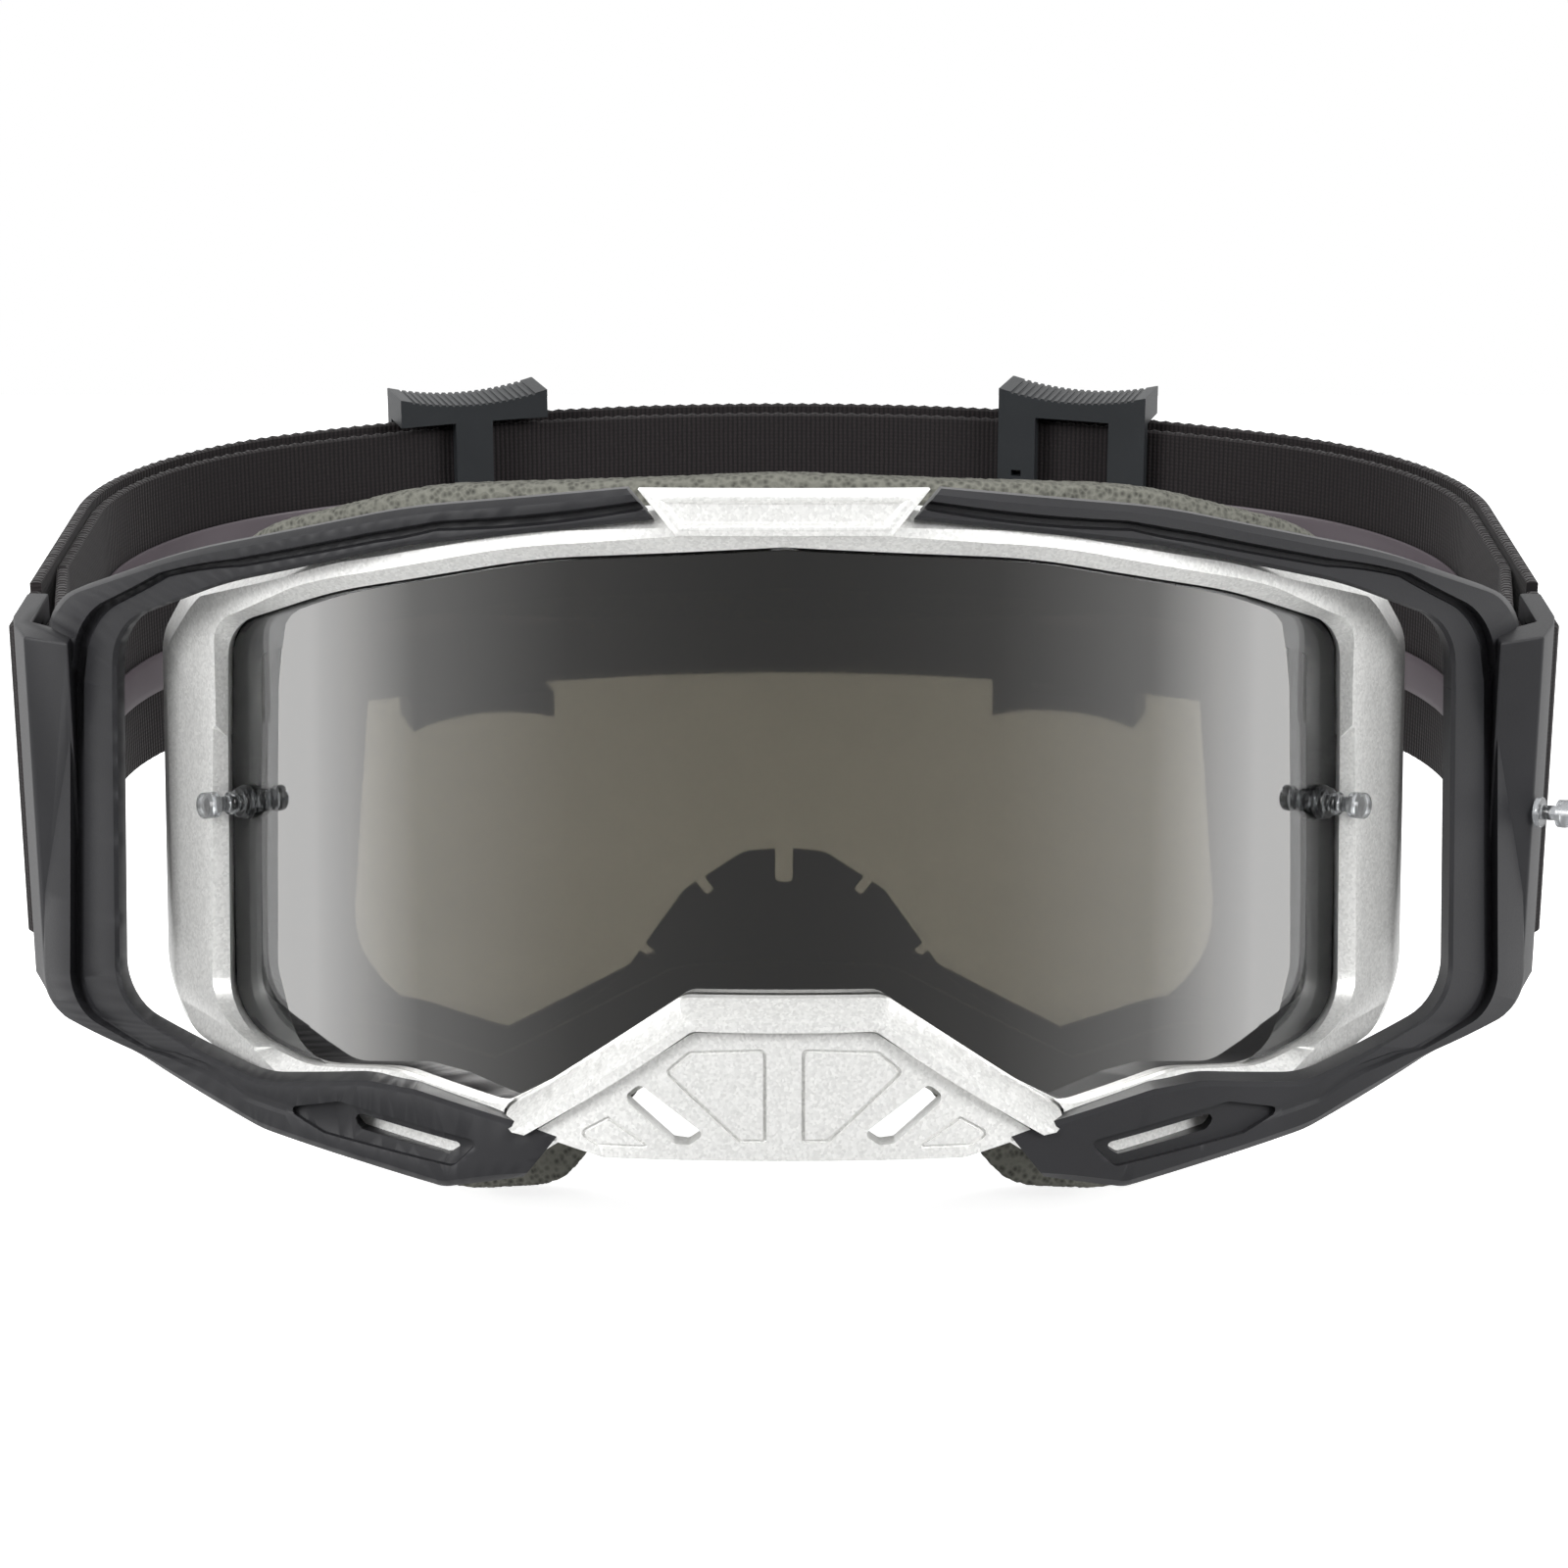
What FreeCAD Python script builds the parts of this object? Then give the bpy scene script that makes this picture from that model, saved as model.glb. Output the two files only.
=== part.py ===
import FreeCAD, Part
import os
from math import asin, atan2, cos, degrees, pi, sin, sqrt, tan

# Motorcycle goggles, in millimetres.
# +X is the wearer's left, -Y is forward (the way the wearer looks) and +Z is up.
# The shapes are drawn with the middle of the lens at y = 0; save() then moves them back,
# so that the origin is the middle of the face seal, where the head meets the goggles.

V = FreeCAD.Vector
os.makedirs("parts", exist_ok=True)

# ---------------------------------------------------------------- driving dimensions
FACE_DEPTH = 44.0            # middle of the lens to the middle of the face seal

LENS_RADIUS = 90.0           # outer face of the cylindrical lens, axis upright
LENS_THICKNESS = 1.2
LENS_EDGE_GAP = 0.4          # lens edge to the frame's opening
SEAT_GAP = 0.2               # between parts that are pressed or glued together
RUN_GAP = 0.4                # between parts that slide past each other

OPENING_HALF_WIDTH = 72.2    # lens opening of the frame
OPENING_TOP = 28.8
OPENING_SIDE_TOP = 16.0
OPENING_SIDE_BOTTOM = -35.2
RIM_PROUD = 4.0              # frame's front face ahead of the lens
RIM_STEP = 2.2               # width and depth of the step along both edges of the rim
PILLAR_WIDTH = 10.6          # silver pillar beside the opening
BROW_HEIGHT = 5.4            # silver brow above the opening
SHELL_WALL = 2.0             # silver skirt over the inner frame
SHELL_DEPTH = 10.0           # silver skirt, lens to rear edge at the middle
BACK_RADIUS = 100.0          # rear faces of the frame and the foam, axis upright
FRAME_DEPTH = 25.0           # lens to the rear face of the inner frame at the middle
SEAT_WIDTH = 5.0             # ledge of the inner frame behind the lens edge
CARRIER_WALL = 2.2           # walls of the inner frame
BROW_VENT_WIDTH = 13.0
BROW_VENT_PITCH = 19.0
BROW_VENT_FOAM = 2.5
BRIDGE_DEPTH = 16.0          # lens to the front of the nose bridge
BRIDGE_THICKNESS = 2.0

FOAM_BASE = 9.0              # three layers of the face foam
FOAM_MID = 7.0
FOAM_FLEECE = 2.4
EYE_HALF_WIDTH = 58.0        # hole in the foam
EYE_TOP = 17.5

ARM_RADIUS = 118.4           # front face of the outriggers, axis upright
ARM_PROUD = 5.0              # front of the outriggers ahead of the lens, at the middle
ARM_THICKNESS = 6.0
ARM_HALF_WIDTH = 99.6        # outer edge of the outrigger's pillar
ARM_PILLAR = 12.8            # width of the outrigger's pillar

GUARD_PROUD = 5.5            # nose guard's plate ahead of the lens
GUARD_RIDGE = 1.5            # ridge ahead of the plate
GUARD_BACK_GAP = 0.8         # behind the guard, to the lens
BADGE_PROUD = 6.2

STRAP_WIDTH = 44.0
STRAP_THICKNESS = 1.6
STRAP_PITCH = 12.0           # degrees, the band rises towards the back of the head
STRAP_PIVOT_Y = 56.0         # the pitched plane passes through this point
STRAP_PIVOT_Z = -8.0
STRAP_HALF_WIDTH = 104.5     # outer face at the temples
STRAP_CORNER_RADIUS = 50.0
STRAP_BACK_RADIUS = 160.0
STRAP_BACK_Y = 183.0
LAYER_GAP = 0.1              # between the two layers of the band
LAYER_STEP = 1.2             # outer layer stands this much higher
TAIL_END = 78.0              # end of the looped tail, level distance behind the lens
JOIN_Y = 90.0                # where the inner layer comes back to the outer one
STRIPE_WIDTH = 6.0
STRIPE_THICKNESS = 0.6
STRIPE_OFFSET = 8.5          # stripe's middle, from the middle of the band

EAR_THICKNESS = 3.0
EAR_BAR = 5.5                # bar that the band is looped round
EAR_SLOT = 4.6
EAR_MARGIN = 3.0             # ear above and below the band
EAR_REAR = 66.5              # rear edge of the ear, level distance behind the lens

SLIDER_WIDTH = 24.0
SLIDER_BAR = 6.0
SLIDER_RAIL = 4.5            # top and bottom rails
SLIDER_THICKNESS = 2.2
SLIDER_CENTRES = (-51.0, 47.5)

POST_X = 69.3                # where the tear-off post goes through the lens
POST_Z = -6.3
POST_STEM = 2.0
POST_HEAD = 3.4
POST_FLANGE = 4.0
POST_HEIGHT = 6.9            # head's top above the lens
POST_HEAD_HEIGHT = 2.0
ARM_POST_HEAD = 3.8
ARM_POST_HEIGHT = 5.5

TALL = 240.0


# ---------------------------------------------------------------- drawing helpers
def rounded_wire(points):
    """A closed wire in the XZ plane through (x, z, corner radius) points."""
    corners = []
    count = len(points)
    for i in range(count):
        x, z, radius = points[i]
        here = V(x, 0, z)
        before = V(points[i - 1][0], 0, points[i - 1][1])
        after = V(points[(i + 1) % count][0], 0, points[(i + 1) % count][1])
        to_before = (before - here).normalize()
        to_after = (after - here).normalize()
        half = to_before.getAngle(to_after) / 2
        if radius == 0:
            corners.append((here, None, here))
            continue
        reach = radius / tan(half)
        middle = here + (to_before + to_after).normalize() * (radius / sin(half) - radius)
        corners.append((here + to_before * reach, middle, here + to_after * reach))
    edges = []
    for i in range(count):
        start, middle, end = corners[i]
        following = corners[(i + 1) % count][0]
        if middle:
            edges.append(Part.Arc(start, middle, end).toShape())
        if (following - end).Length > 1e-6:
            edges.append(Part.LineSegment(end, following).toShape())
    return Part.Wire(edges)


def both_sides(points):
    """Outline drawn for +X from top to bottom, closed with its mirror image."""
    mirrored = [(-x, z, r) for x, z, r in reversed(points) if x > 0]
    return rounded_wire(points + mirrored)


def grown(wire, distance):
    """The wire, moved outwards by a clearance, or inwards if it is negative."""
    return Part.Face(wire).makeOffset2D(distance).OuterWire


def prism(wire, front=-40.0, back=75.0):
    face = Part.Face(wire)
    face.translate(V(0, front, 0))
    return face.extrude(V(0, back - front, 0))


def drum(radius, apex):
    """Upright cylinder whose foremost line is at y = apex."""
    return Part.makeCylinder(radius, TALL, V(0, apex + radius, -TALL / 2))


def curved(wire, front_radius, front_apex, back_radius, back_apex, limit=75.0):
    """What the outline cuts out between two upright cylindrical faces."""
    body = prism(wire, -40.0, limit).common(drum(front_radius, front_apex))
    return body.cut(drum(back_radius, back_apex))


def lens_slab(wire, outer, inner):
    """Curved slab between two heights above the lens's outer face."""
    return curved(wire, LENS_RADIUS + outer, -outer, LENS_RADIUS + inner, -inner)


def arm_slab(wire, outer, inner):
    """Curved slab of an outrigger, by depth behind its front face."""
    return curved(wire, ARM_RADIUS - outer, outer - ARM_PROUD,
                  ARM_RADIUS - inner, inner - ARM_PROUD, 90.0)


def mirrored(shape):
    return shape.mirror(V(0, 0, 0), V(1, 0, 0))


def save(name, shape):
    moved = shape.copy()
    moved.translate(V(0, -FACE_DEPTH, 0))
    moved.exportStep("parts/" + name + ".step")
    print(name, len(shape.Solids), round(shape.Volume, 1), shape.isValid())


# ---------------------------------------------------------------- outlines
def opening_outline():
    """The lens opening of the frame, which drops into an arch over the nose."""
    side = OPENING_HALF_WIDTH
    return both_sides([
        (0, OPENING_TOP, 0),
        (30, OPENING_TOP - 1.6, 90),
        (56, OPENING_TOP - 6.6, 60),
        (side - 0.6, OPENING_SIDE_TOP + 0.6, 6),
        (side, OPENING_SIDE_BOTTOM, 8),
        (60.5, -38.8, 12),
        (49, -37.6, 14),
        (35, -40.8, 5),
        (11.5, -27.6, 7),
        (0, -27.2, 0),
    ])


def frame_outline():
    """Outer edge of the silver frame."""
    side = OPENING_HALF_WIDTH + PILLAR_WIDTH
    return both_sides([
        (0, OPENING_TOP + BROW_HEIGHT, 0),
        (34, OPENING_TOP + BROW_HEIGHT - 2.2, 90),
        (60, 26.8, 60),
        (side - 4.6, 20.6, 3),
        (side, 14.0, 8),
        (side, -31.0, 10),
        (side - 3.2, -37.0, 4),
        (61, -45.5, 20),
        (42, -50.0, 10),
        (31, -49.5, 6),
        (12.5, -34.4, 8),
        (0, -33.6, 0),
    ])


def eye_outline():
    """The hole through the foam and the inner frame, that the wearer looks through."""
    return both_sides([
        (0, EYE_TOP, 0),
        (EYE_HALF_WIDTH - 4, EYE_TOP, 6),
        (EYE_HALF_WIDTH, -32, 14),
        (40, -41.5, 12),
        (30, -40.5, 9),
        (12, -23.5, 9),
        (0, -22.5, 0),
    ])


def foam_outline():
    """Outer edge of the face foam."""
    return both_sides([
        (0, 36.5, 0),
        (46, 34.5, 60),
        (74, 27, 16),
        (81.5, 10, 20),
        (80, -30, 20),
        (62, -49.5, 26),
        (44, -58.5, 14),
        (29, -56.5, 8),
        (13, -36, 9),
        (0, -34, 0),
    ])


def guard_outline():
    """Outer edge of the nose guard."""
    return both_sides([
        (0, -25.4, 0),
        (12.2, -25.8, 3),
        (36.2, -42.3, 1.2),
        (29.5, -43.4, 3),
        (22, -45.5, 4),
        (0, -45.4, 0),
    ])


def arm_outline():
    """One outrigger, on the +X side: top arm, pillar, bottom arm and the pod."""
    side = ARM_HALF_WIDTH
    inside = side - ARM_PILLAR
    return rounded_wire([
        (18.8, 35.9, 0.8),
        (46, 33.2, 90),
        (76, 26.6, 90),
        (side - 3.4, 19.3, 8),
        (side - 0.6, 10.0, 10),
        (side + 0.4, -36.0, 5),
        (84, -39.0, 20),
        (66, -45.9, 16),
        (42, -50.6, 4),
        (33, -48.8, 5),
        (27.6, -43.0, 1.2),
        (45.5, -38.6, 6),
        (52, -38.0, 12),
        (66, -39.8, 12),
        (inside + 0.2, -33.6, 7),
        (inside - 0.6, 16.6, 8),
        (70, 23.0, 50),
        (46, 28.6, 60),
        (15.6, 32.2, 0.8),
    ])


# ---------------------------------------------------------------- frame, lens, guard
OPENING = opening_outline()
FRAME = frame_outline()
EYE = eye_outline()
FOAM = foam_outline()
GUARD = guard_outline()
ARM = arm_outline()
LENS_SEAT = -LENS_THICKNESS - SEAT_GAP


def make_lens():
    pane = lens_slab(grown(OPENING, -LENS_EDGE_GAP), 0, -LENS_THICKNESS)
    for side in (-1, 1):
        pane = pane.cut(post_shape(side, [(POST_STEM / 2 + 0.1, -8, 8)]))
    return pane


def make_guard():
    """Clip-on plate over the nose: ridge along its top, pressed panels and two vents."""
    back = GUARD_BACK_GAP
    plate = lens_slab(GUARD, GUARD_PROUD, back)
    crest = lens_slab(GUARD, GUARD_PROUD + GUARD_RIDGE, GUARD_PROUD)
    inside = both_sides([
        (0, -28.2, 0),
        (11.2, -28.7, 3),
        (34.4, -45.2, 2),
        (34, -50, 0),
        (0, -50, 0),
    ])
    guard = plate.fuse(crest.cut(prism(inside))).removeSplitter()
    for side in (-1, 1):
        for outline in (large_panel(side), small_panel(side)):
            guard = guard.cut(lens_slab(outline, GUARD_PROUD + 1, GUARD_PROUD - 0.6))
        guard = guard.cut(prism(vent_slot(side)))
    return guard


def large_panel(side):
    return rounded_wire([(side * x, z, r) for x, z, r in (
        (2.1, -31.2, 0.8), (12.0, -31.6, 1), (14.8, -34.2, 0.7), (5.4, -43.2, 0.7), (2.1, -43.2, 0.5))])


def small_panel(side):
    return rounded_wire([(side * x, z, r) for x, z, r in (
        (21.2, -39.8, 0.5), (25.8, -42.2, 0.7), (22.6, -44.2, 0.8), (14.6, -44.2, 0.5))])


def vent_slot(side):
    return rounded_wire([(side * x, z, r) for x, z, r in (
        (19.6, -37.8, 0.8), (17.6, -35.9, 0.8), (9.6, -42.2, 0.6), (11.6, -43.6, 0.8), (13.4, -43.4, 0.6))])


def make_badge():
    """Bare plate at the middle of the brow, between two slanted ridges."""
    plate = lens_slab(rounded_wire([
        (-17.5, 35.9, 0.6), (17.5, 35.9, 0.6), (12.9, 30.3, 0.6), (-12.9, 30.3, 0.6)]),
        BADGE_PROUD, 1.5)
    field = rounded_wire([
        (-15.2, 34.9, 0.4), (15.2, 34.9, 0.4), (11.8, 31.1, 0.4), (-11.8, 31.1, 0.4)])
    return plate.cut(lens_slab(field, BADGE_PROUD + 1, BADGE_PROUD - 0.7))


def make_frame(outriggers, badge):
    """Silver frame: a thick front rim, and a thin skirt over the inner frame."""
    rim = lens_slab(grown(FRAME, -RIM_STEP), RIM_PROUD, RIM_PROUD - RIM_STEP)
    rim = rim.cut(prism(grown(OPENING, RIM_STEP)))
    back = LENS_SEAT + SEAT_GAP / 2
    base = lens_slab(FRAME, RIM_PROUD - RIM_STEP, back)
    rim = rim.fuse(base.cut(prism(OPENING)))
    skirt = curved(FRAME, LENS_RADIUS + back, -back, BACK_RADIUS, SHELL_DEPTH)
    skirt = skirt.cut(prism(grown(FRAME, -SHELL_WALL)))
    shell = rim.fuse(skirt).removeSplitter()
    shell = shell.cut(lens_slab(grown(GUARD, RUN_GAP), 12, GUARD_BACK_GAP - RUN_GAP))
    for part in outriggers + [badge]:
        shell = shell.cut(part)
    return shell


def make_inner_frame():
    """Black carrier: the ledge that the lens rests on, and the walls back to the foam."""
    outer = grown(FRAME, -SHELL_WALL - SEAT_GAP / 2)
    front = LENS_RADIUS + LENS_SEAT
    carrier = curved(outer, front, -LENS_SEAT, BACK_RADIUS, FRAME_DEPTH)
    carrier = carrier.cut(prism(grown(OPENING, -SEAT_WIDTH)))
    channel = curved(grown(outer, -CARRIER_WALL), front - CARRIER_WALL, CARRIER_WALL - LENS_SEAT,
                     BACK_RADIUS, FRAME_DEPTH - CARRIER_WALL)
    carrier = carrier.cut(channel)
    for side in (-1, 1):
        foot, out = post_frame(side)
        pocket = Part.makeCylinder(POST_FLANGE / 2 + RUN_GAP, 8, foot - out * 8, out)
        path = Part.makeCylinder(POST_FLANGE / 2 + RUN_GAP, 12, foot - out * 4, V(0, -1, 0))
        carrier = carrier.cut(pocket.fuse(path))
    for x in brow_vent_places():
        slot = Part.makeBox(BROW_VENT_WIDTH, 60, 12, V(x - BROW_VENT_WIDTH / 2, 0, OPENING_TOP - 8))
        window = curved(outer, BACK_RADIUS, SHELL_DEPTH + 2, BACK_RADIUS, FRAME_DEPTH - CARRIER_WALL - 2)
        carrier = carrier.cut(slot.common(window))
    return carrier


def brow_vent_places():
    return [BROW_VENT_PITCH * (i - 2) for i in range(5)]


def make_brow_vent_foam():
    """Filter foam strip under the vents on top of the inner frame."""
    upper = grown(FRAME, -SHELL_WALL - CARRIER_WALL - 2 * SEAT_GAP)
    strip = curved(upper, BACK_RADIUS, SHELL_DEPTH, BACK_RADIUS, FRAME_DEPTH - CARRIER_WALL - SEAT_GAP)
    strip = strip.cut(prism(grown(upper, -BROW_VENT_FOAM)))
    half = BROW_VENT_PITCH * 2 + BROW_VENT_WIDTH
    return strip.common(Part.makeBox(2 * half, 80, 40, V(-half, 0, 0)))


def make_nose_bridge():
    """Soft notched flap that stands up from the frame behind the nose arch."""
    flap = both_sides([
        (0, -10.2, 0),
        (5.0, -10.6, 4),
        (12.6, -15.6, 3),
        (20.5, -26.8, 4),
        (31, -34.6, 3),
        (34, -42, 1),
        (0, -42, 0),
    ])
    bridge = curved(flap, BACK_RADIUS, BRIDGE_DEPTH, BACK_RADIUS, BRIDGE_DEPTH + BRIDGE_THICKNESS)
    bridge = bridge.common(prism(grown(FRAME, -SHELL_WALL - CARRIER_WALL - 2 * SEAT_GAP)))
    notch = rounded_wire([(-1.1, -8, 0), (1.1, -8, 0), (1.1, -14.5, 0.6), (-1.1, -14.5, 0.6)])
    bridge = bridge.cut(prism(notch))
    for x, z, turn in ((10.8, -13.8, 38), (18.2, -22.6, 52)):
        for side in (-1, 1):
            slit = prism(rounded_wire([(-0.7, 3, 0), (0.7, 3, 0), (0.7, -2.6, 0.5), (-0.7, -2.6, 0.5)]))
            slit.rotate(V(0, 0, 0), V(0, 1, 0), side * turn)
            slit.translate(V(side * x, 0, z))
            bridge = bridge.cut(slit)
    return bridge


def make_foam_layer(front, thickness, inset):
    outer = grown(FOAM, -inset)
    hole = grown(EYE, inset)
    layer = curved(outer, BACK_RADIUS, front + SEAT_GAP, BACK_RADIUS, front + thickness, 110.0)
    return layer.cut(prism(hole, -40.0, 120.0))


# ---------------------------------------------------------------- outriggers and vents
def pod_pocket():
    return rounded_wire([
        (63.0, -42.6, 0.6), (55.4, -40.9, 1.5), (37.4, -44.4, 0.6), (40.8, -47.8, 1.2), (57.5, -45.2, 2)])


def pod_slot():
    return rounded_wire([
        (54.6, -42.1, 0.7), (39.2, -45.1, 0.5), (41.2, -46.5, 0.6), (52.6, -44.4, 0.8)])


def make_outrigger(side):
    """Strap arm: a loop that stands clear of the frame, with a vented pod and a strap ear."""
    arm = arm_slab(ARM, 0, ARM_THICKNESS)
    arm = arm.cut(arm_slab(pod_pocket(), -1, 1.2))
    arm = arm.cut(prism(pod_slot()))
    arm = arm.cut(lens_slab(grown(GUARD, RUN_GAP), 30, -20))
    arm = arm.cut(prism(grown(OPENING, SEAT_GAP)))
    behind = Part.makeBox(60, 60, 2 * STRAP_WIDTH, V(ARM_HALF_WIDTH - ARM_PILLAR, EAR_SLOT_FRONT - 1,
                                                     -STRAP_WIDTH))
    arm = arm.cut(pitched(behind))
    arm = arm.fuse(strap_ear()).removeSplitter()
    if side < 0:
        return mirrored(arm)
    foot, out = arm_post_frame()
    boss = Part.makeCylinder(POST_FLANGE / 2 + 0.6, 7.5, foot - out * 7.5, out)
    return arm.fuse(boss).removeSplitter()


def make_vent_foam(side):
    pad = arm_slab(grown(pod_slot(), 1.6), ARM_THICKNESS + SEAT_GAP, ARM_THICKNESS + 2.2)
    return pad if side > 0 else mirrored(pad)


def pitched(shape):
    """Turn a shape that is drawn level into the sloping plane of the head band."""
    turned = shape.copy()
    turned.rotate(V(0, STRAP_PIVOT_Y, 0), V(1, 0, 0), STRAP_PITCH)
    turned.translate(V(0, 0, STRAP_PIVOT_Z))
    return turned


def slab_in_plan(points, low, high):
    """Level slab with the given (x, y, corner radius) outline, before it is pitched."""
    wire = rounded_wire(points)
    wire.rotate(V(0, 0, 0), V(1, 0, 0), -90)
    face = Part.Face(wire)
    face.translate(V(0, 0, low))
    return face.extrude(V(0, 0, high - low))


EAR_OUTSIDE = STRAP_HALF_WIDTH - STRAP_THICKNESS - SEAT_GAP
EAR_INSIDE = EAR_OUTSIDE - EAR_THICKNESS
EAR_SLOT_REAR = EAR_REAR - EAR_BAR
EAR_SLOT_FRONT = EAR_SLOT_REAR - EAR_SLOT
LOOP_FRONT = EAR_SLOT_REAR - SEAT_GAP - STRAP_THICKNESS


def strap_ear():
    """Plate behind the pillar, with the upright slot that the band is looped through."""
    half = STRAP_WIDTH / 2
    root = ARM_HALF_WIDTH - ARM_PILLAR / 2
    plate = slab_in_plan([
        (root, 44.0, 0),
        (EAR_OUTSIDE - 3.2, 46.0, 0.6),
        (EAR_OUTSIDE, EAR_SLOT_FRONT - 1.5, 3),
        (EAR_OUTSIDE, EAR_REAR, 1),
        (EAR_INSIDE, EAR_REAR, 1),
        (EAR_INSIDE, EAR_SLOT_FRONT - 3.0, 3),
        (root, 49.0, 0),
    ], -half - EAR_MARGIN, half + EAR_MARGIN)
    side_view = Part.Wire(Part.makePolygon([
        V(0, 40, -half - EAR_MARGIN), V(0, EAR_REAR + 1, -half - EAR_MARGIN),
        V(0, EAR_REAR + 1, half + EAR_MARGIN), V(0, 40, half - 2), V(0, 40, -half - EAR_MARGIN)]))
    profile = Part.Face(side_view).extrude(V(TALL, 0, 0))
    slot = Part.makeBox(30, EAR_SLOT, STRAP_WIDTH + 2 * RUN_GAP,
                        V(EAR_INSIDE - 10, EAR_SLOT_FRONT, -half - RUN_GAP))
    return pitched(plate.common(profile).cut(slot))


# ---------------------------------------------------------------- head band
def band_plan(inset, thickness, start):
    """Half of a band's plan, as the face between two offsets of its outer face."""
    centre = STRAP_BACK_Y - STRAP_BACK_RADIUS
    corner_x = STRAP_HALF_WIDTH - STRAP_CORNER_RADIUS
    reach = STRAP_BACK_RADIUS - STRAP_CORNER_RADIUS
    corner_y = centre + sqrt(reach ** 2 - corner_x ** 2)
    turn = atan2(corner_y - centre, corner_x)

    def face_points(offset):
        side = STRAP_HALF_WIDTH - offset
        bend = STRAP_CORNER_RADIUS - offset
        back = STRAP_BACK_RADIUS - offset
        return [
            V(side, start, 0),
            V(side, corner_y, 0),
            V(corner_x + bend * cos(turn / 2), corner_y + bend * sin(turn / 2), 0),
            V(corner_x + bend * cos(turn), corner_y + bend * sin(turn), 0),
            V(back * cos((turn + pi / 2) / 2), centre + back * sin((turn + pi / 2) / 2), 0),
            V(0, centre + back, 0),
        ]

    outer = face_points(inset)
    inner = face_points(inset + thickness)
    edges = [
        Part.LineSegment(outer[0], outer[1]).toShape(),
        Part.Arc(outer[1], outer[2], outer[3]).toShape(),
        Part.Arc(outer[3], outer[4], outer[5]).toShape(),
        Part.LineSegment(outer[5], inner[5]).toShape(),
        Part.Arc(inner[5], inner[4], inner[3]).toShape(),
        Part.Arc(inner[3], inner[2], inner[1]).toShape(),
        Part.LineSegment(inner[1], inner[0]).toShape(),
        Part.LineSegment(inner[0], outer[0]).toShape(),
    ]
    return Part.Face(Part.Wire(edges))


def band(inset, thickness, start, low, high):
    half = band_plan(inset, thickness, start)
    half.translate(V(0, 0, low))
    solid = half.extrude(V(0, 0, high - low))
    return solid.fuse(mirrored(solid)).removeSplitter()


def make_outer_band():
    half = STRAP_WIDTH / 2
    return pitched(band(0, STRAP_THICKNESS, TAIL_END + SEAT_GAP, -half + LAYER_STEP, half + LAYER_STEP))


def make_inner_band():
    """Inner layer; each end is looped forward round the bar of the ear."""
    half = STRAP_WIDTH / 2
    inset = STRAP_THICKNESS + LAYER_GAP
    layer = band(inset, STRAP_THICKNESS, JOIN_Y, -half, half)
    outside = STRAP_HALF_WIDTH
    tail = outside - STRAP_THICKNESS
    inside = EAR_INSIDE - SEAT_GAP
    joined = outside - inset
    loop = slab_in_plan([
        (joined, JOIN_Y, 0),
        (joined - STRAP_THICKNESS, JOIN_Y, 0),
        (inside - STRAP_THICKNESS, EAR_REAR + 2, 8),
        (inside - STRAP_THICKNESS, LOOP_FRONT, 2.2),
        (outside, LOOP_FRONT, 2.2),
        (outside, TAIL_END, 0),
        (tail, TAIL_END, 0),
        (tail, LOOP_FRONT + STRAP_THICKNESS, 0.6),
        (inside, LOOP_FRONT + STRAP_THICKNESS, 0.6),
        (inside, EAR_REAR + 2, 8),
    ], -half, half)
    return pitched(layer.fuse([loop, mirrored(loop)]).removeSplitter())


def make_stripe(level):
    """Silicone bead line that keeps the band from slipping on a helmet."""
    inset = 2 * STRAP_THICKNESS + LAYER_GAP + SEAT_GAP / 2
    low = level - STRIPE_WIDTH / 2
    return pitched(band(inset, STRIPE_THICKNESS, JOIN_Y + 6, low, low + STRIPE_WIDTH))


def make_bartack(side):
    """Stitched patch that closes the loop round the ear's bar."""
    half = STRAP_WIDTH / 2
    patch = Part.makeBox(0.7, 5.0, STRAP_WIDTH - 6, V(STRAP_HALF_WIDTH + SEAT_GAP / 2, TAIL_END - 2.5,
                                                      -half + 3))
    patch = pitched(patch)
    return patch if side > 0 else mirrored(patch)


# ---------------------------------------------------------------- sliders
def ring_sector(inner, outer, from_x, to_x, low, high):
    """Part of an upright tube about the centre of the band's back stretch."""
    centre = STRAP_BACK_Y - STRAP_BACK_RADIUS
    tube = Part.makeCylinder(outer, high - low, V(0, centre, low))
    tube = tube.cut(Part.makeCylinder(inner, high - low, V(0, centre, low)))
    return tube.common(Part.makeBox(to_x - from_x, TALL, high - low + 2, V(from_x, centre, low - 1)))


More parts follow.
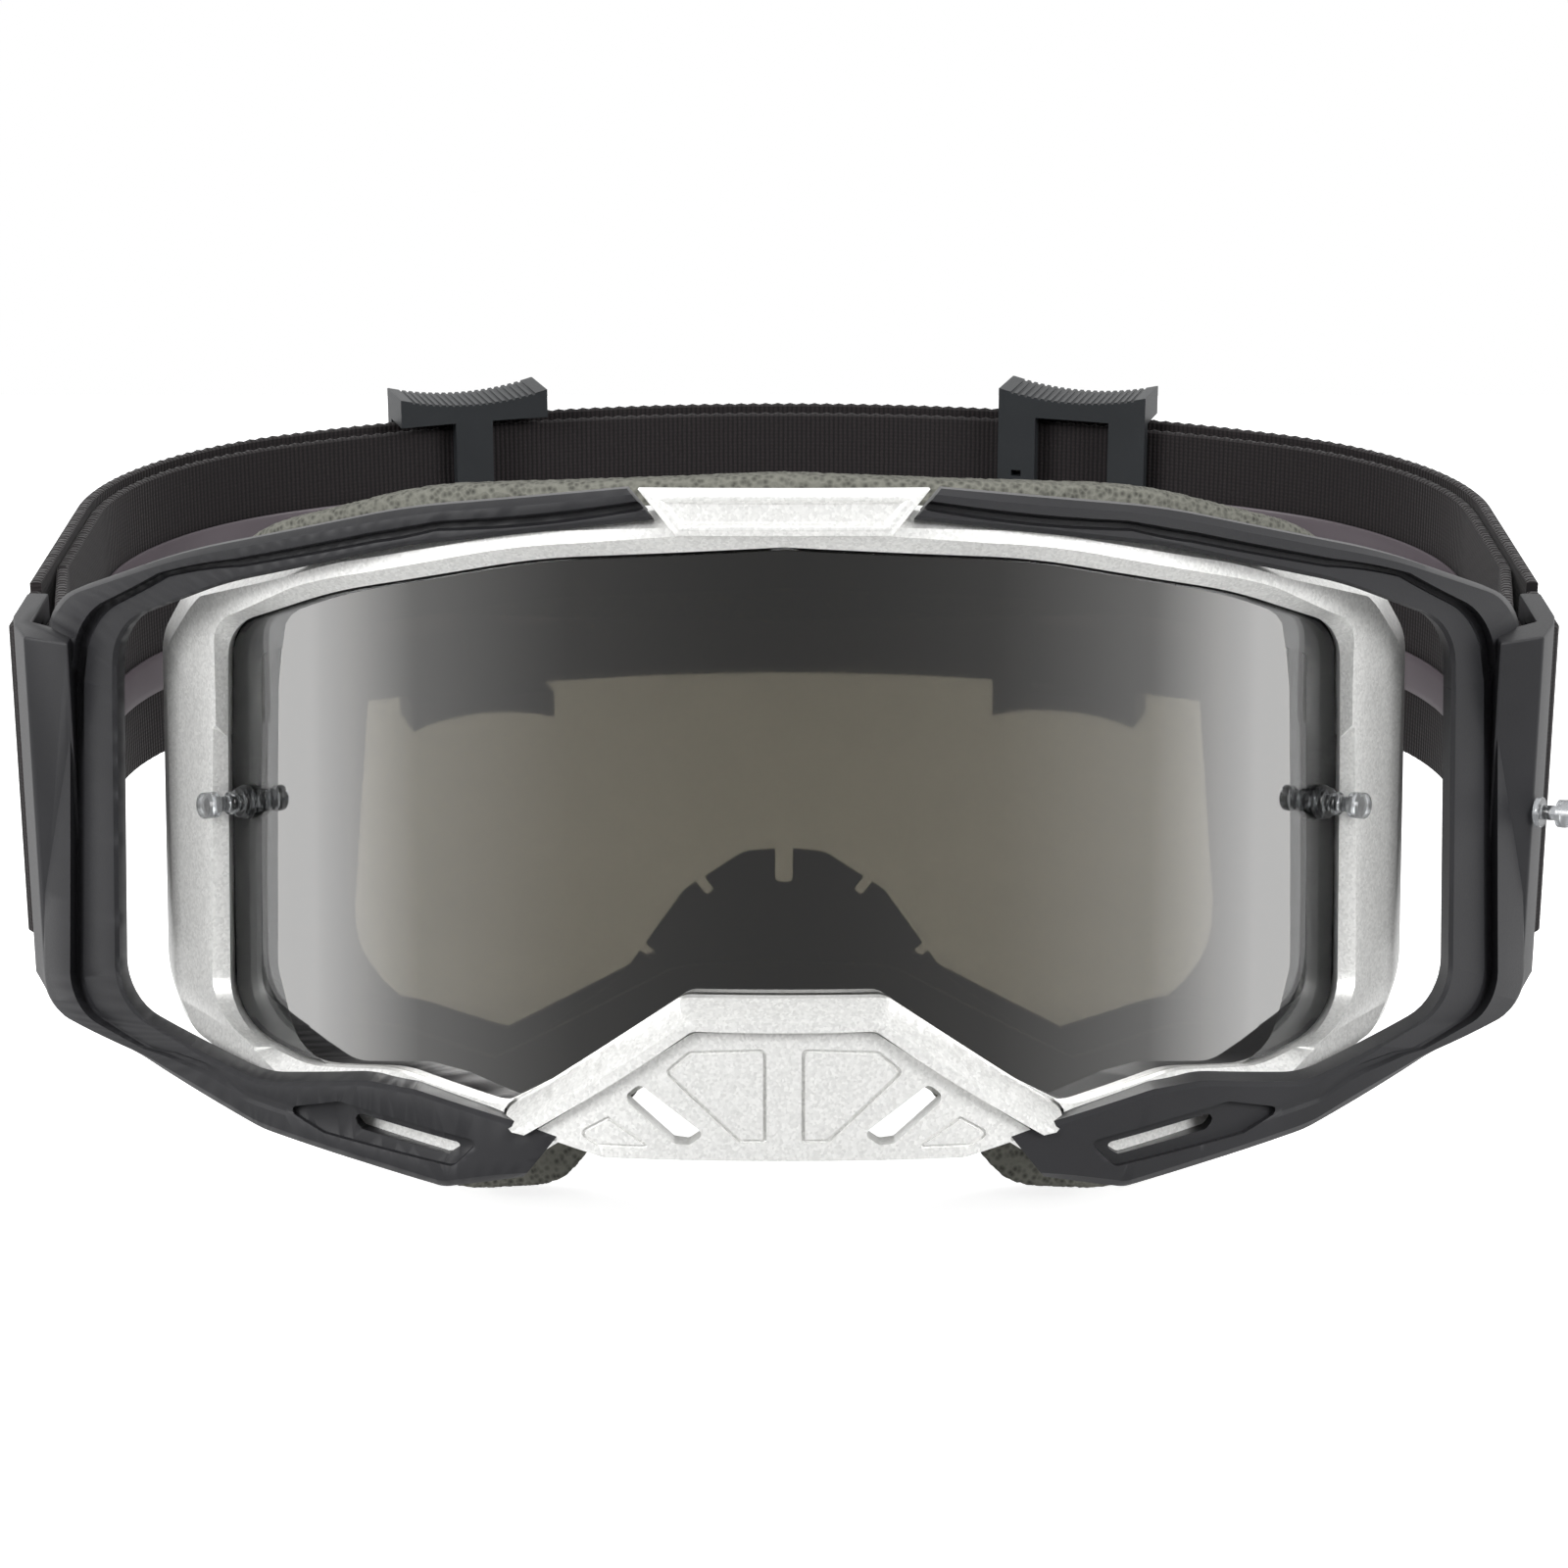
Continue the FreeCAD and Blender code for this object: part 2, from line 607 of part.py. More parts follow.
def make_slider(centre_x, bar_inside):
    """Three-bar slider: two rails, with bars on both faces of the band between them."""
    half = STRAP_WIDTH / 2
    face_in = STRAP_BACK_RADIUS - 2 * STRAP_THICKNESS - LAYER_GAP - SEAT_GAP / 2 - STRIPE_THICKNESS
    face_in = face_in - RUN_GAP
    face_out = STRAP_BACK_RADIUS + RUN_GAP
    near = face_in - SLIDER_THICKNESS
    far = face_out + SLIDER_THICKNESS
    start = -SLIDER_WIDTH / 2
    low = -half - RUN_GAP
    high = half + LAYER_STEP + RUN_GAP
    body = ring_sector(near, far, start, -start, high, high + SLIDER_RAIL)
    pieces = [ring_sector(near, far, start, -start, low - SLIDER_RAIL, low)]
    centre_radii = (near, face_in) if bar_inside else (face_out, far)
    side_radii = (face_out, far) if bar_inside else (near, face_in)
    low = low - SLIDER_RAIL / 2
    high = high + SLIDER_RAIL / 2
    pieces.append(ring_sector(*centre_radii, -SLIDER_BAR / 2, SLIDER_BAR / 2, low, high))
    pieces.append(ring_sector(*side_radii, start, start + SLIDER_BAR, low, high))
    pieces.append(ring_sector(*side_radii, -start - SLIDER_BAR, -start, low, high))
    body = body.fuse(pieces).removeSplitter()
    if not bar_inside:
        for i in range(4):
            hole = Part.makeBox(1.6, 60, 1.0, V(start + SLIDER_BAR / 2 - 0.8, 140, 3 + i * 3.6))
            body = body.cut(hole)
    for end in (-1, 1):
        edge = high + SLIDER_RAIL / 2 if end > 0 else low - SLIDER_RAIL / 2
        scoop = Part.makeCylinder(44, 80, V(0, 140, edge + end * 42.4), V(0, 1, 0))
        body = body.cut(scoop)
        for i in range(19):
            x = start + 2.2 + i * (SLIDER_WIDTH - 4.4) / 18
            z = edge + end * (42.4 - sqrt(44 ** 2 - x ** 2))
            tooth = Part.makeCylinder(0.28, 80, V(x, 140, z), V(0, 1, 0))
            body = body.cut(tooth)
    reach = STRAP_BACK_RADIUS - STRAP_THICKNESS
    centre = STRAP_BACK_Y - STRAP_BACK_RADIUS
    body.rotate(V(0, centre, 0), V(0, 0, 1), -degrees(asin(centre_x / reach)))
    return pitched(body)


# ---------------------------------------------------------------- tear-off posts
def post_frame(side):
    """Foot and outward direction of a post on the lens."""
    y = LENS_RADIUS - sqrt(LENS_RADIUS ** 2 - POST_X ** 2)
    out = V(side * POST_X, y - LENS_RADIUS, 0).normalize()
    return V(side * POST_X, y, POST_Z), out


def turned(foot, out, steps):
    """Stack of discs along a direction: (radius, from, to) for each step."""
    stack = [Part.makeCylinder(radius, high - low, foot + out * low, out) for radius, low, high in steps]
    return stack[0] if len(stack) == 1 else stack[0].fuse(stack[1:]).removeSplitter()


def post_shape(side, steps):
    foot, out = post_frame(side)
    return turned(foot, out, steps)


def post_steps(height):
    """Stem, flange, neck and head of a post, from its foot outwards."""
    stem = POST_STEM / 2
    return [
        (stem, -3.4, height - 1.0),
        (POST_FLANGE / 2, 0.8, 1.6),
        (POST_FLANGE / 2 - 0.5, 2.3, 3.1),
        (POST_HEAD / 2, height - POST_HEAD_HEIGHT, height),
    ]


def make_post(side):
    return post_shape(side, post_steps(POST_HEIGHT))


def make_washer(side):
    ring = post_shape(side, [(POST_FLANGE / 2 + 0.25, 0.1, 0.7)])
    return ring.cut(post_shape(side, [(POST_STEM / 2 + 0.05, -1, 2)]))


def make_retainer(side):
    ring = post_shape(side, [(1.55, -3.2, -1.5)])
    return ring.cut(post_shape(side, [(POST_STEM / 2 + 0.02, -9, 2)]))


def make_arm_post():
    """Spare post for the end of a tear-off film, on the outrigger's outer side."""
    foot, out = arm_post_frame()
    return turned(foot, out, [
        (POST_STEM / 2, SEAT_GAP, 4.4),
        (POST_FLANGE / 2, SEAT_GAP, 1.0),
        (ARM_POST_HEAD / 2, 3.2, ARM_POST_HEIGHT),
    ])


def arm_post_frame():
    """Foot and outward direction of the spare post, on its boss on the outrigger."""
    return V(ARM_HALF_WIDTH + 0.4, 47.0, -9.5), V(0.86, -0.51, 0).normalize()


# ---------------------------------------------------------------- build
def main():
    badge = make_badge()
    arms = {side: make_outrigger(side) for side in (-1, 1)}
    inner = make_inner_frame()
    save("brow_badge", badge)
    save("outrigger_right", arms[-1])
    save("outrigger_left", arms[1])
    vents = {side: make_vent_foam(side) for side in (-1, 1)}
    save("vent_foam_right", vents[-1])
    save("vent_foam_left", vents[1])
    shell = make_frame(list(arms.values()), badge)
    for vent in vents.values():
        shell = shell.cut(vent)
    save("frame_shell", shell)
    save("inner_frame", inner)
    save("brow_vent_foam", make_brow_vent_foam())
    save("nose_bridge", make_nose_bridge().cut(inner))
    save("face_foam_base", make_foam_layer(FRAME_DEPTH, FOAM_BASE, 0))
    save("face_foam_mid", make_foam_layer(FRAME_DEPTH + FOAM_BASE, FOAM_MID, 1.2))
    rear = FRAME_DEPTH + FOAM_BASE + FOAM_MID
    save("face_foam_fleece", make_foam_layer(rear, FOAM_FLEECE, 2.0))
    save("lens", make_lens())
    save("nose_guard", make_guard())
    for name, side in (("right", -1), ("left", 1)):
        save("tearoff_post_" + name, make_post(side))
        save("tearoff_washer_" + name, make_washer(side))
        save("post_retainer_" + name, make_retainer(side))
        save("strap_bartack_" + name, make_bartack(side))
    save("outrigger_post", make_arm_post())
    save("strap_inner_band", make_inner_band())
    save("strap_outer_band", make_outer_band())
    save("silicone_stripe_upper", make_stripe(STRIPE_OFFSET))
    save("silicone_stripe_lower", make_stripe(-STRIPE_OFFSET))
    save("strap_slider_right", make_slider(SLIDER_CENTRES[0], True))
    save("strap_slider_left", make_slider(SLIDER_CENTRES[1], False))


main()
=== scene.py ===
# %% [markdown]
# # Off-road riding goggles
#
# The hard pieces of these goggles are curved plates: the lens, the silver frame round it, the nose
# guard and the two black outriggers all lie on upright cylinders. Each is easiest to draw flat, as
# it looks from the front, and then to set on its cylinder. The soft pieces are three layers of
# face foam and a two-layer elastic band with rubber grip lines.
# The CAD model gives the places, so the first cell loads it and remembers its box.

# %% Load the frame
import random
from math import atan2, ceil, cos, hypot, pi, radians, sin, sqrt, tan

import bmesh
import bpy
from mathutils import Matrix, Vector


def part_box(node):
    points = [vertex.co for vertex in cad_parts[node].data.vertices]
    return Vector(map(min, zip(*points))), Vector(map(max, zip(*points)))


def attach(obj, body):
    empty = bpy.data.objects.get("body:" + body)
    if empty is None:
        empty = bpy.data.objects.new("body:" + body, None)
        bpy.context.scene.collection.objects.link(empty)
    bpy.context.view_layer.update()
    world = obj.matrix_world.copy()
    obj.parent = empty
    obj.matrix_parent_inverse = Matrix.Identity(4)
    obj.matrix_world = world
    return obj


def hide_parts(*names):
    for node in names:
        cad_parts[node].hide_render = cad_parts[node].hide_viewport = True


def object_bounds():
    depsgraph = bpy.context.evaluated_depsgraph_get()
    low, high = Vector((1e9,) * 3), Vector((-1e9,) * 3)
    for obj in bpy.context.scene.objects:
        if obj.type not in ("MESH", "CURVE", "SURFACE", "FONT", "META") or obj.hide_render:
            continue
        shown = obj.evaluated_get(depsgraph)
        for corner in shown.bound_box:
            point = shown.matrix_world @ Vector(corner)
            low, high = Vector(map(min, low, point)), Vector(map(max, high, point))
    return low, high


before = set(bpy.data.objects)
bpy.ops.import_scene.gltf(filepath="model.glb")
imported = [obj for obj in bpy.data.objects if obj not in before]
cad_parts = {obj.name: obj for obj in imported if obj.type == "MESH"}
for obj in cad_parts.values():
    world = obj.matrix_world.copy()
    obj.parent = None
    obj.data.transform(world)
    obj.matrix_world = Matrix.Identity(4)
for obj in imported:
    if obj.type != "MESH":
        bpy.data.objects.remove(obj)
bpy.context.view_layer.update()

MM = 0.001
random.seed(7)

# %% [markdown]
# ## Where things are
#
# The lens is a cylinder about an upright axis. Its foremost point is the front of its box, and
# every height in this lesson is counted in millimetres from its outer face. The outriggers lie
# on a wider cylinder of their own, whose depths are counted backwards from its front face.

# %% Cylinders of the lens, the outriggers and the rear faces
LENS_RADIUS = 90.0
LENS_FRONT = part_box("lens")[0][1] / MM
ARM_RADIUS = 118.4
ARM_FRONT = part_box("outrigger_left")[0][1] / MM
ARM_APEX = LENS_FRONT - 5.0
BACK_RADIUS = 100.0


def at_height(x, z, height):
    """Point over (x, z) of the front view, at a height above the lens, in millimetres."""
    radius = LENS_RADIUS + height
    return (x, LENS_FRONT + LENS_RADIUS - sqrt(radius ** 2 - x ** 2), z)


def at_depth(x, z, depth):
    """Point over (x, z) at a depth behind the outriggers' front face."""
    radius = ARM_RADIUS - depth
    return (x, ARM_APEX + ARM_RADIUS - sqrt(radius ** 2 - x ** 2), z)


def at_back(x, z, depth):
    """Point over (x, z) on a rear face that is this far behind the middle of the lens."""
    return (x, LENS_FRONT + depth + BACK_RADIUS - sqrt(BACK_RADIUS ** 2 - x ** 2), z)


print("lens front at", round(LENS_FRONT, 1), "mm, outriggers' front at", round(ARM_FRONT, 1), "mm")

# %% [markdown]
# ## Outlines with rounded corners
#
# A moulded part's outline is a few straight runs with a radius at each corner. One function turns
# such a list of corners into points, and two outlines that are cut into the same number of points
# can be joined by a sweep, point to point.

# %% Outline helpers


def both_sides(corners):
    """Close an outline that is drawn for +X only, from the top to the bottom."""
    return corners + [(-x, z, r) for x, z, r in reversed(corners) if x > 0]


def runs(corners, step, closed=True):
    """How many pieces to cut each straight run into."""
    count = len(corners)
    last = count if closed else count - 1
    sizes = []
    for i in range(last):
        a, b = corners[i], corners[(i + 1) % count]
        sizes.append(max(1, ceil(hypot(b[0] - a[0], b[1] - a[1]) / step)))
    return sizes


def corner_arc(before, here, after, turn):
    """Points round one corner, from one tangent point to the other."""
    point = Vector(here[:2])
    back = (Vector(before[:2]) - point).normalized()
    ahead = (Vector(after[:2]) - point).normalized()
    radius = here[2]
    half = back.angle(ahead) / 2
    if radius == 0 or abs(half - pi / 2) < 1e-4:
        return [point] * (turn + 1)
    reach = radius / tan(half)
    centre = point + (back + ahead).normalized() * (radius / sin(half))
    start = point + back * reach - centre
    end = point + ahead * reach - centre
    sweep = start.angle(end)
    points = []
    for i in range(turn + 1):
        share = i / turn
        mixed = start * sin((1 - share) * sweep) + end * sin(share * sweep)
        points.append(centre + mixed / sin(sweep))
    return points


def outline(corners, sizes, turn=4, closed=True):
    """Points along rounded corners, with each run cut into the given number of pieces."""
    count = len(corners)
    arcs = []
    for i, here in enumerate(corners):
        if not closed and i in (0, count - 1):
            arcs.append([Vector(here[:2])])
        else:
            arcs.append(corner_arc(corners[i - 1], here, corners[(i + 1) % count], turn))
    points = []
    for i in range(count):
        points += arcs[i]
        if closed or i < count - 1:
            end, start = arcs[i][-1], arcs[(i + 1) % count][0]
            pieces = sizes[i]
            points += [end.lerp(start, k / pieces) for k in range(1, pieces)]
    return points


# %% [markdown]
# ## Modelling helpers
#
# A sweep starts as a grid primitive: its columns go round the section and its rows along the
# route. Each row is put in its place, the seam is merged and the open ends are filled. A plate
# starts as a filled circle whose vertices are put on the outline, and is extruded once. The mesh
# operators act on all that is selected, so everything is deselected first.

# %% Sweep, plate and finishing helpers


def edit(piece):
    """Select one piece alone and open it in edit mode."""
    bpy.ops.object.select_all(action="DESELECT")
    piece.select_set(True)
    bpy.context.view_layer.objects.active = piece
    bpy.ops.object.mode_set(mode="EDIT")


def place(piece, points):
    """Put the vertices, in their order, at these places in millimetres."""
    for vertex, point in zip(piece.data.vertices, points):
        vertex.co = Vector(point) * MM


def filled_circle(name, count):
    bpy.ops.object.select_all(action="DESELECT")
    bpy.ops.mesh.primitive_circle_add(vertices=count, radius=1, fill_type="NGON")
    piece = bpy.context.object
    piece.name = name
    piece.data.name = name
    return piece


def sweep(name, rings, closed=False, marks=None):
    """Lay a grid of faces over rings of places, given in millimetres, and close it.

    marks gives each place its UV, where a pattern has to follow the sweep.
    """
    size = len(rings[0])
    route = rings + rings[:1] if closed else rings
    bpy.ops.object.select_all(action="DESELECT")
    bpy.ops.mesh.primitive_grid_add(x_subdivisions=size, y_subdivisions=len(route) - 1)
    piece = bpy.context.object
    piece.name = name
    piece.data.name = name
    place(piece, [point for ring in route for point in ring + ring[:1]])
    if marks:
        layer = piece.data.uv_layers.active
        flat = [mark for row in marks for mark in row + row[:1]]
        for loop in piece.data.loops:
            layer.data[loop.index].uv = flat[loop.vertex_index]
    tidy(piece)
    if not closed:
        edit(piece)
        bpy.ops.mesh.select_all(action="SELECT")
        bpy.ops.mesh.fill_holes(sides=0)
        tidy(piece)
    return piece


def tidy(piece):
    """Merge doubles and turn all faces outwards."""
    if bpy.context.object is not piece or piece.mode != "EDIT":
        edit(piece)
    bpy.ops.mesh.select_all(action="SELECT")
    bpy.ops.mesh.remove_doubles(threshold=0.00001)
    bpy.ops.mesh.normals_make_consistent(inside=False)
    bpy.ops.object.mode_set(mode="OBJECT")


def plate(name, points, low, high):
    """Flat plate over an outline, drawn with y as minus the height."""
    piece = filled_circle(name, len(points))
    place(piece, [(p[0], -low, p[1]) for p in points])
    bpy.ops.object.mode_set(mode="EDIT")
    bpy.ops.mesh.select_all(action="SELECT")
    bpy.ops.mesh.extrude_region_move(TRANSFORM_OT_translate={"value": (0, (low - high) * MM, 0)})
    tidy(piece)
    return piece


def apply_modifier(piece, kind, **settings):
    bpy.ops.object.select_all(action="DESELECT")
    piece.select_set(True)
    bpy.context.view_layer.objects.active = piece
    modifier = piece.modifiers.new(kind.title(), kind)
    for key, value in settings.items():
        setattr(modifier, key, value)
    bpy.ops.object.modifier_apply(modifier=modifier.name)


def soften(piece, width, segments=2, angle=40):
    """Round every sharp edge, as a mould does."""
    apply_modifier(piece, "BEVEL", width=width * MM, segments=segments, limit_method="ANGLE",
                   angle_limit=radians(angle), use_clamp_overlap=True, harden_normals=False)


def carve(piece, cutter, operation="DIFFERENCE"):
    """Cut a piece with another, or unite or intersect them, and remove the cutter."""
    apply_modifier(piece, "BOOLEAN", object=cutter, operation=operation, solver="EXACT")
    bpy.data.objects.remove(cutter, do_unlink=True)


def slice_across(piece, step):
    """Cut a flat piece into narrow strips across X, so that it can follow a cylinder."""
    xs = [v.co.x for v in piece.data.vertices]
    low, high = min(xs) / MM, max(xs) / MM
    edit(piece)
    x = ceil((low + 0.2) / step) * step
    while x < high - 0.2:
        bpy.ops.mesh.select_all(action="SELECT")
        bpy.ops.mesh.bisect(plane_co=(x * MM, 0, 0), plane_no=(1, 0, 0))
        x += step
    bpy.ops.object.mode_set(mode="OBJECT")


def wrap(piece):
    """Set a flat piece on the lens's cylinder: its y is minus the height above the lens."""
    for vertex in piece.data.vertices:
        x, y, z = vertex.co / MM
        vertex.co = Vector(at_height(x, z, -y)) * MM


def wrap_on_arm(piece):
    """Set a flat piece on the outriggers' cylinder: its y is the depth behind the front face."""
    for vertex in piece.data.vertices:
        x, y, z = vertex.co / MM
        vertex.co = Vector(at_depth(x, z, y)) * MM


def smooth(piece, angle=30):
    bpy.ops.object.select_all(action="DESELECT")
    piece.select_set(True)
    bpy.context.view_layer.objects.active = piece
    bpy.ops.object.shade_smooth_by_angle(angle=radians(angle))
    apply_modifier(piece, "WEIGHTED_NORMAL", keep_sharp=True)


def mirror_copy(piece, name):
    """A copy for the other side, with its own mesh and its faces turned outwards."""
    twin = piece.copy()
    twin.data = piece.data.copy()
    twin.name = name
    bpy.context.collection.objects.link(twin)
    for vertex in twin.data.vertices:
        vertex.co.x = -vertex.co.x
    twin.data.flip_normals()
    return twin


def finish_piece(piece, body, slot, material, *nodes):
    """Give a piece its material and its body, and hide the CAD nodes that it stands for. The slot is not
    used.
    """
    piece.data.materials.clear()
    piece.data.materials.append(material)
    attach(piece, body)
    if nodes:
        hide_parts(*nodes)
    print(piece.name, len(piece.data.polygons), "faces, rides", body)


# %% [markdown]
# ## Materials
#
# Every material but the mirror film starts from a Principled BSDF. One function turns a colour
# as it is written on paper into the linear one that the shader wants, and one adds a node with
# its settings and links, so that a material reads as a short list.

# %% Material helpers


def linear(code):
    """sRGB hex to linear RGBA."""
    values = []
    for i in (0, 2, 4):
        c = int(code[i:i + 2], 16) / 255
        values.append(c / 12.92 if c <= 0.04045 else ((c + 0.055) / 1.055) ** 2.4)
    return (*values, 1.0)


def add(tree, kind, links=None, **settings):
    """Add a node; settings are its properties or sockets, links are socket to output."""
    node = tree.nodes.new(kind)
    for key, value in settings.items():
        if hasattr(node, key):
            setattr(node, key, value)
        else:
            node.inputs[key.replace("_", " ")].default_value = value
    for socket, output in (links or {}).items():
        tree.links.new(output, node.inputs[socket])
    return node


def new_material(name):
    material = bpy.data.materials.new(name)
    material.use_nodes = True
    tree = material.node_tree
    shader = tree.nodes["Principled BSDF"]
    return material, tree, shader


def object_coordinates(tree):
    return add(tree, "ShaderNodeTexCoord").outputs["Object"]


def ramp(tree, factor, stops):
    node = add(tree, "ShaderNodeValToRGB", links={"Fac": factor})
    node.color_ramp.elements[0].position, node.color_ramp.elements[0].color = stops[0]
    node.color_ramp.elements[1].position, node.color_ramp.elements[1].color = stops[-1]
    for position, color in stops[1:-1]:
        node.color_ramp.elements.new(position).color = color
    return node


# %% [markdown]
# ### Silver paint
#
# The frame, badge and nose guard are flexible plastic with a metallic silver paint. Aluminium
# flakes about 0.1 mm across lie in the lacquer at slightly different tilts, so the surface
# glitters finely and its gloss is soft. Flakes that small would blend into one even grey from
# arm's length, so they are drawn 0.35 mm across.

# %% Silver metallic paint on plastic


def make_silver(name, base, dark, roughness):
    material, tree, shader = new_material(name)
    place_in = object_coordinates(tree)
    flake = add(tree, "ShaderNodeTexVoronoi", links={"Vector": place_in}, Scale=1 / (0.35 * MM))
    cloud = add(tree, "ShaderNodeTexNoise", links={"Vector": place_in}, Scale=1 / (24 * MM),
                Detail=3.0)
    tone = ramp(tree, flake.outputs["Color"], [(0.0, linear(dark)), (1.0, linear(base))])
    tree.links.new(tone.outputs["Color"], shader.inputs["Base Color"])
    shader.inputs["Metallic"].default_value = 0.6
    rough = add(tree, "ShaderNodeMapRange", links={"Value": cloud.outputs["Fac"]},
                To_Min=roughness - 0.04, To_Max=roughness + 0.05)
    tree.links.new(rough.outputs["Result"], shader.inputs["Roughness"])
    bump = add(tree, "ShaderNodeBump", links={"Height": flake.outputs["Distance"]},
               Strength=0.06, Distance=0.02 * MM)
    tree.links.new(bump.outputs["Normal"], shader.inputs["Normal"])
    return material


silver = make_silver("Silver_metallic_paint", "EAEAE8", "CDCDCB", 0.38)
print("made", silver.name)

# %% [markdown]
# ### Black moulded plastics
#
# The outriggers are nylon out of a spark-eroded mould: a fine even grain, about 0.3 mm, that
# spreads the highlight. The inner frame is the same plastic with a smoother face. Both have
# barely any colour of their own, so what is seen is mostly their roughness. Large faint clouds
# keep a broad face from looking painted.

# %% Grained nylon and smooth polymer


def make_moulded(name, colour, roughness, grain_mm, strength):
    material, tree, shader = new_material(name)
    place_in = object_coordinates(tree)
    shader.inputs["Specular IOR Level"].default_value = 0.22
    grain = add(tree, "ShaderNodeTexNoise", links={"Vector": place_in}, Scale=1 / (grain_mm * MM),
                Detail=4.0, Roughness=0.6)
    wear = add(tree, "ShaderNodeTexNoise", links={"Vector": place_in}, Scale=1 / (18 * MM), Detail=2.0)
    base = linear(colour)
    paler = tuple(min(1.0, c * 1.25) for c in base[:3]) + (1.0,)
    tone = ramp(tree, wear.outputs["Fac"], [(0.3, base), (0.7, paler)])
    tree.links.new(tone.outputs["Color"], shader.inputs["Base Color"])
    rough = add(tree, "ShaderNodeMapRange", links={"Value": grain.outputs["Fac"]},
                To_Min=roughness - 0.06, To_Max=roughness + 0.06)
    tree.links.new(rough.outputs["Result"], shader.inputs["Roughness"])
    bump = add(tree, "ShaderNodeBump", links={"Height": grain.outputs["Fac"]},
               Strength=strength, Distance=0.05 * MM)
    tree.links.new(bump.outputs["Normal"], shader.inputs["Normal"])
    return material


nylon = make_moulded("Black_grained_nylon", "1D1D1F", 0.5, 0.3, 0.3)
polymer = make_moulded("Black_smooth_polymer", "1B1B1C", 0.42, 0.5, 0.15)
slider_nylon = make_moulded("Charcoal_slider_nylon", "1E2022", 0.48, 0.3, 0.3)
bridge_rubber = make_moulded("Grey_black_bridge_rubber", "33332F", 0.7, 0.6, 0.2)

# %% [markdown]
# ### Face foam and fleece
#
# Open-cell polyurethane foam is drawn with cells 0.8 mm across. Up close it is a net of struts
# round holes that lie in shade, so a Voronoi pattern gives both its speckle and its bump; the dark
# at the middle of each cell is painted shade in the holes, the pale is the foam's own colour. The
# fleece on the skin side is a brushed knit: a soft random pile with sheen at grazing angles.

# %% Open-cell foam and brushed fleece


def make_foam(name, pale, dark, cell_mm):
    material, tree, shader = new_material(name)
    place_in = object_coordinates(tree)
    warp = add(tree, "ShaderNodeTexNoise", links={"Vector": place_in}, Scale=1 / (2.5 * MM), Detail=2.0)
    cells = add(tree, "ShaderNodeTexVoronoi", links={"Vector": place_in}, Scale=1 / (cell_mm * MM),
                Randomness=1.0)
    patches = add(tree, "ShaderNodeMixRGB", links={"Color1": cells.outputs["Distance"],
                                                   "Color2": warp.outputs["Fac"]}, Fac=0.25)
    # Painted shade: the ramp is dark at the middle of each cell, where the holes are, and pale at the
    # struts.
    tone = ramp(tree, patches.outputs["Color"], [(0.12, linear(dark)), (0.6, linear(pale))])
    tree.links.new(tone.outputs["Color"], shader.inputs["Base Color"])
    shader.inputs["Roughness"].default_value = 0.95
    shader.inputs["Specular IOR Level"].default_value = 0.15
    bump = add(tree, "ShaderNodeBump", links={"Height": cells.outputs["Distance"]},
               Strength=0.9, Distance=0.35 * MM)
    tree.links.new(bump.outputs["Normal"], shader.inputs["Normal"])
    return material


# In each, the darker colour is painted shade in the cells' holes and the paler one is the material's own
# colour.
foam = make_foam("Grey_open_cell_foam", "6A6A63", "3A3A36", 0.8)
dark_foam = make_foam("Charcoal_open_cell_foam", "6B6B66", "2E2E2B", 0.8)
fleece = make_foam("Black_brushed_fleece", "3C3A3A", "161515", 0.6)
fleece.node_tree.nodes["Principled BSDF"].inputs["Sheen Weight"].default_value = 0.4
fleece.node_tree.nodes["Principled BSDF"].inputs["Sheen Roughness"].default_value = 0.5

# %% [markdown]
# ### Lens, film and posts
#
# The lens is clear polycarbonate. Its mirror is a vacuum-coated metal film that stops short of the
# ends. About a third of the light comes back from it, and more where it is seen at a slant. The
# rest passes through, dimmed and a little warm. So the film is a sheet of its own that mixes a
# tinted see-through shader with a sharp reflection.

# %% Clear polycarbonate and mirror film


def make_clear(name, colour, roughness, ior):
    material, tree, shader = new_material(name)
    haze = add(tree, "ShaderNodeTexNoise", links={"Vector": object_coordinates(tree)},
               Scale=1 / (6 * MM))
    rough = add(tree, "ShaderNodeMapRange", links={"Value": haze.outputs["Fac"]},
                To_Min=roughness, To_Max=roughness + 0.04)
    tree.links.new(rough.outputs["Result"], shader.inputs["Roughness"])
    shader.inputs["Base Color"].default_value = linear(colour)
    shader.inputs["Transmission Weight"].default_value = 1.0
    shader.inputs["IOR"].default_value = ior
    return material


def make_film():
    material, tree, shader = new_material("Mirror_film_on_polycarbonate")
    tree.nodes.remove(shader)
    clear = add(tree, "ShaderNodeBsdfTransparent", Color=linear("A5A196"))
    mirror = add(tree, "ShaderNodeBsdfGlossy", Color=linear("F2F2F2"), Roughness=0.04)
    facing = add(tree, "ShaderNodeLayerWeight", Blend=0.3)
    share = add(tree, "ShaderNodeMapRange", links={"Value": facing.outputs["Fresnel"]},
                To_Min=0.34, To_Max=0.9)
    mix = add(tree, "ShaderNodeMixShader", links={"Fac": share.outputs["Result"]})
    tree.links.new(clear.outputs[0], mix.inputs[1])
    tree.links.new(mirror.outputs[0], mix.inputs[2])
    tree.links.new(mix.outputs[0], tree.nodes["Material Output"].inputs["Surface"])
    return material


polycarbonate = make_clear("Clear_polycarbonate", "F4F5F5", 0.01, 1.586)
post_plastic = make_clear("Translucent_post_plastic", "8E9092", 0.16, 1.5)
film = make_film()

# %% [markdown]
# ### Woven band, silicone and thread
#
# The band is elastic webbing: rubber cords wrapped in black yarn, with ribs across its length
# 0.75 mm apart. Its pattern reads the band's own UV map, which is in metres along and across, so
# the ribs follow every bend. Silicone lines are printed on the inside for grip.

# %% Webbing, silicone and thread
WAVE_LENGTH = 0.314  # of a wave texture at scale 1


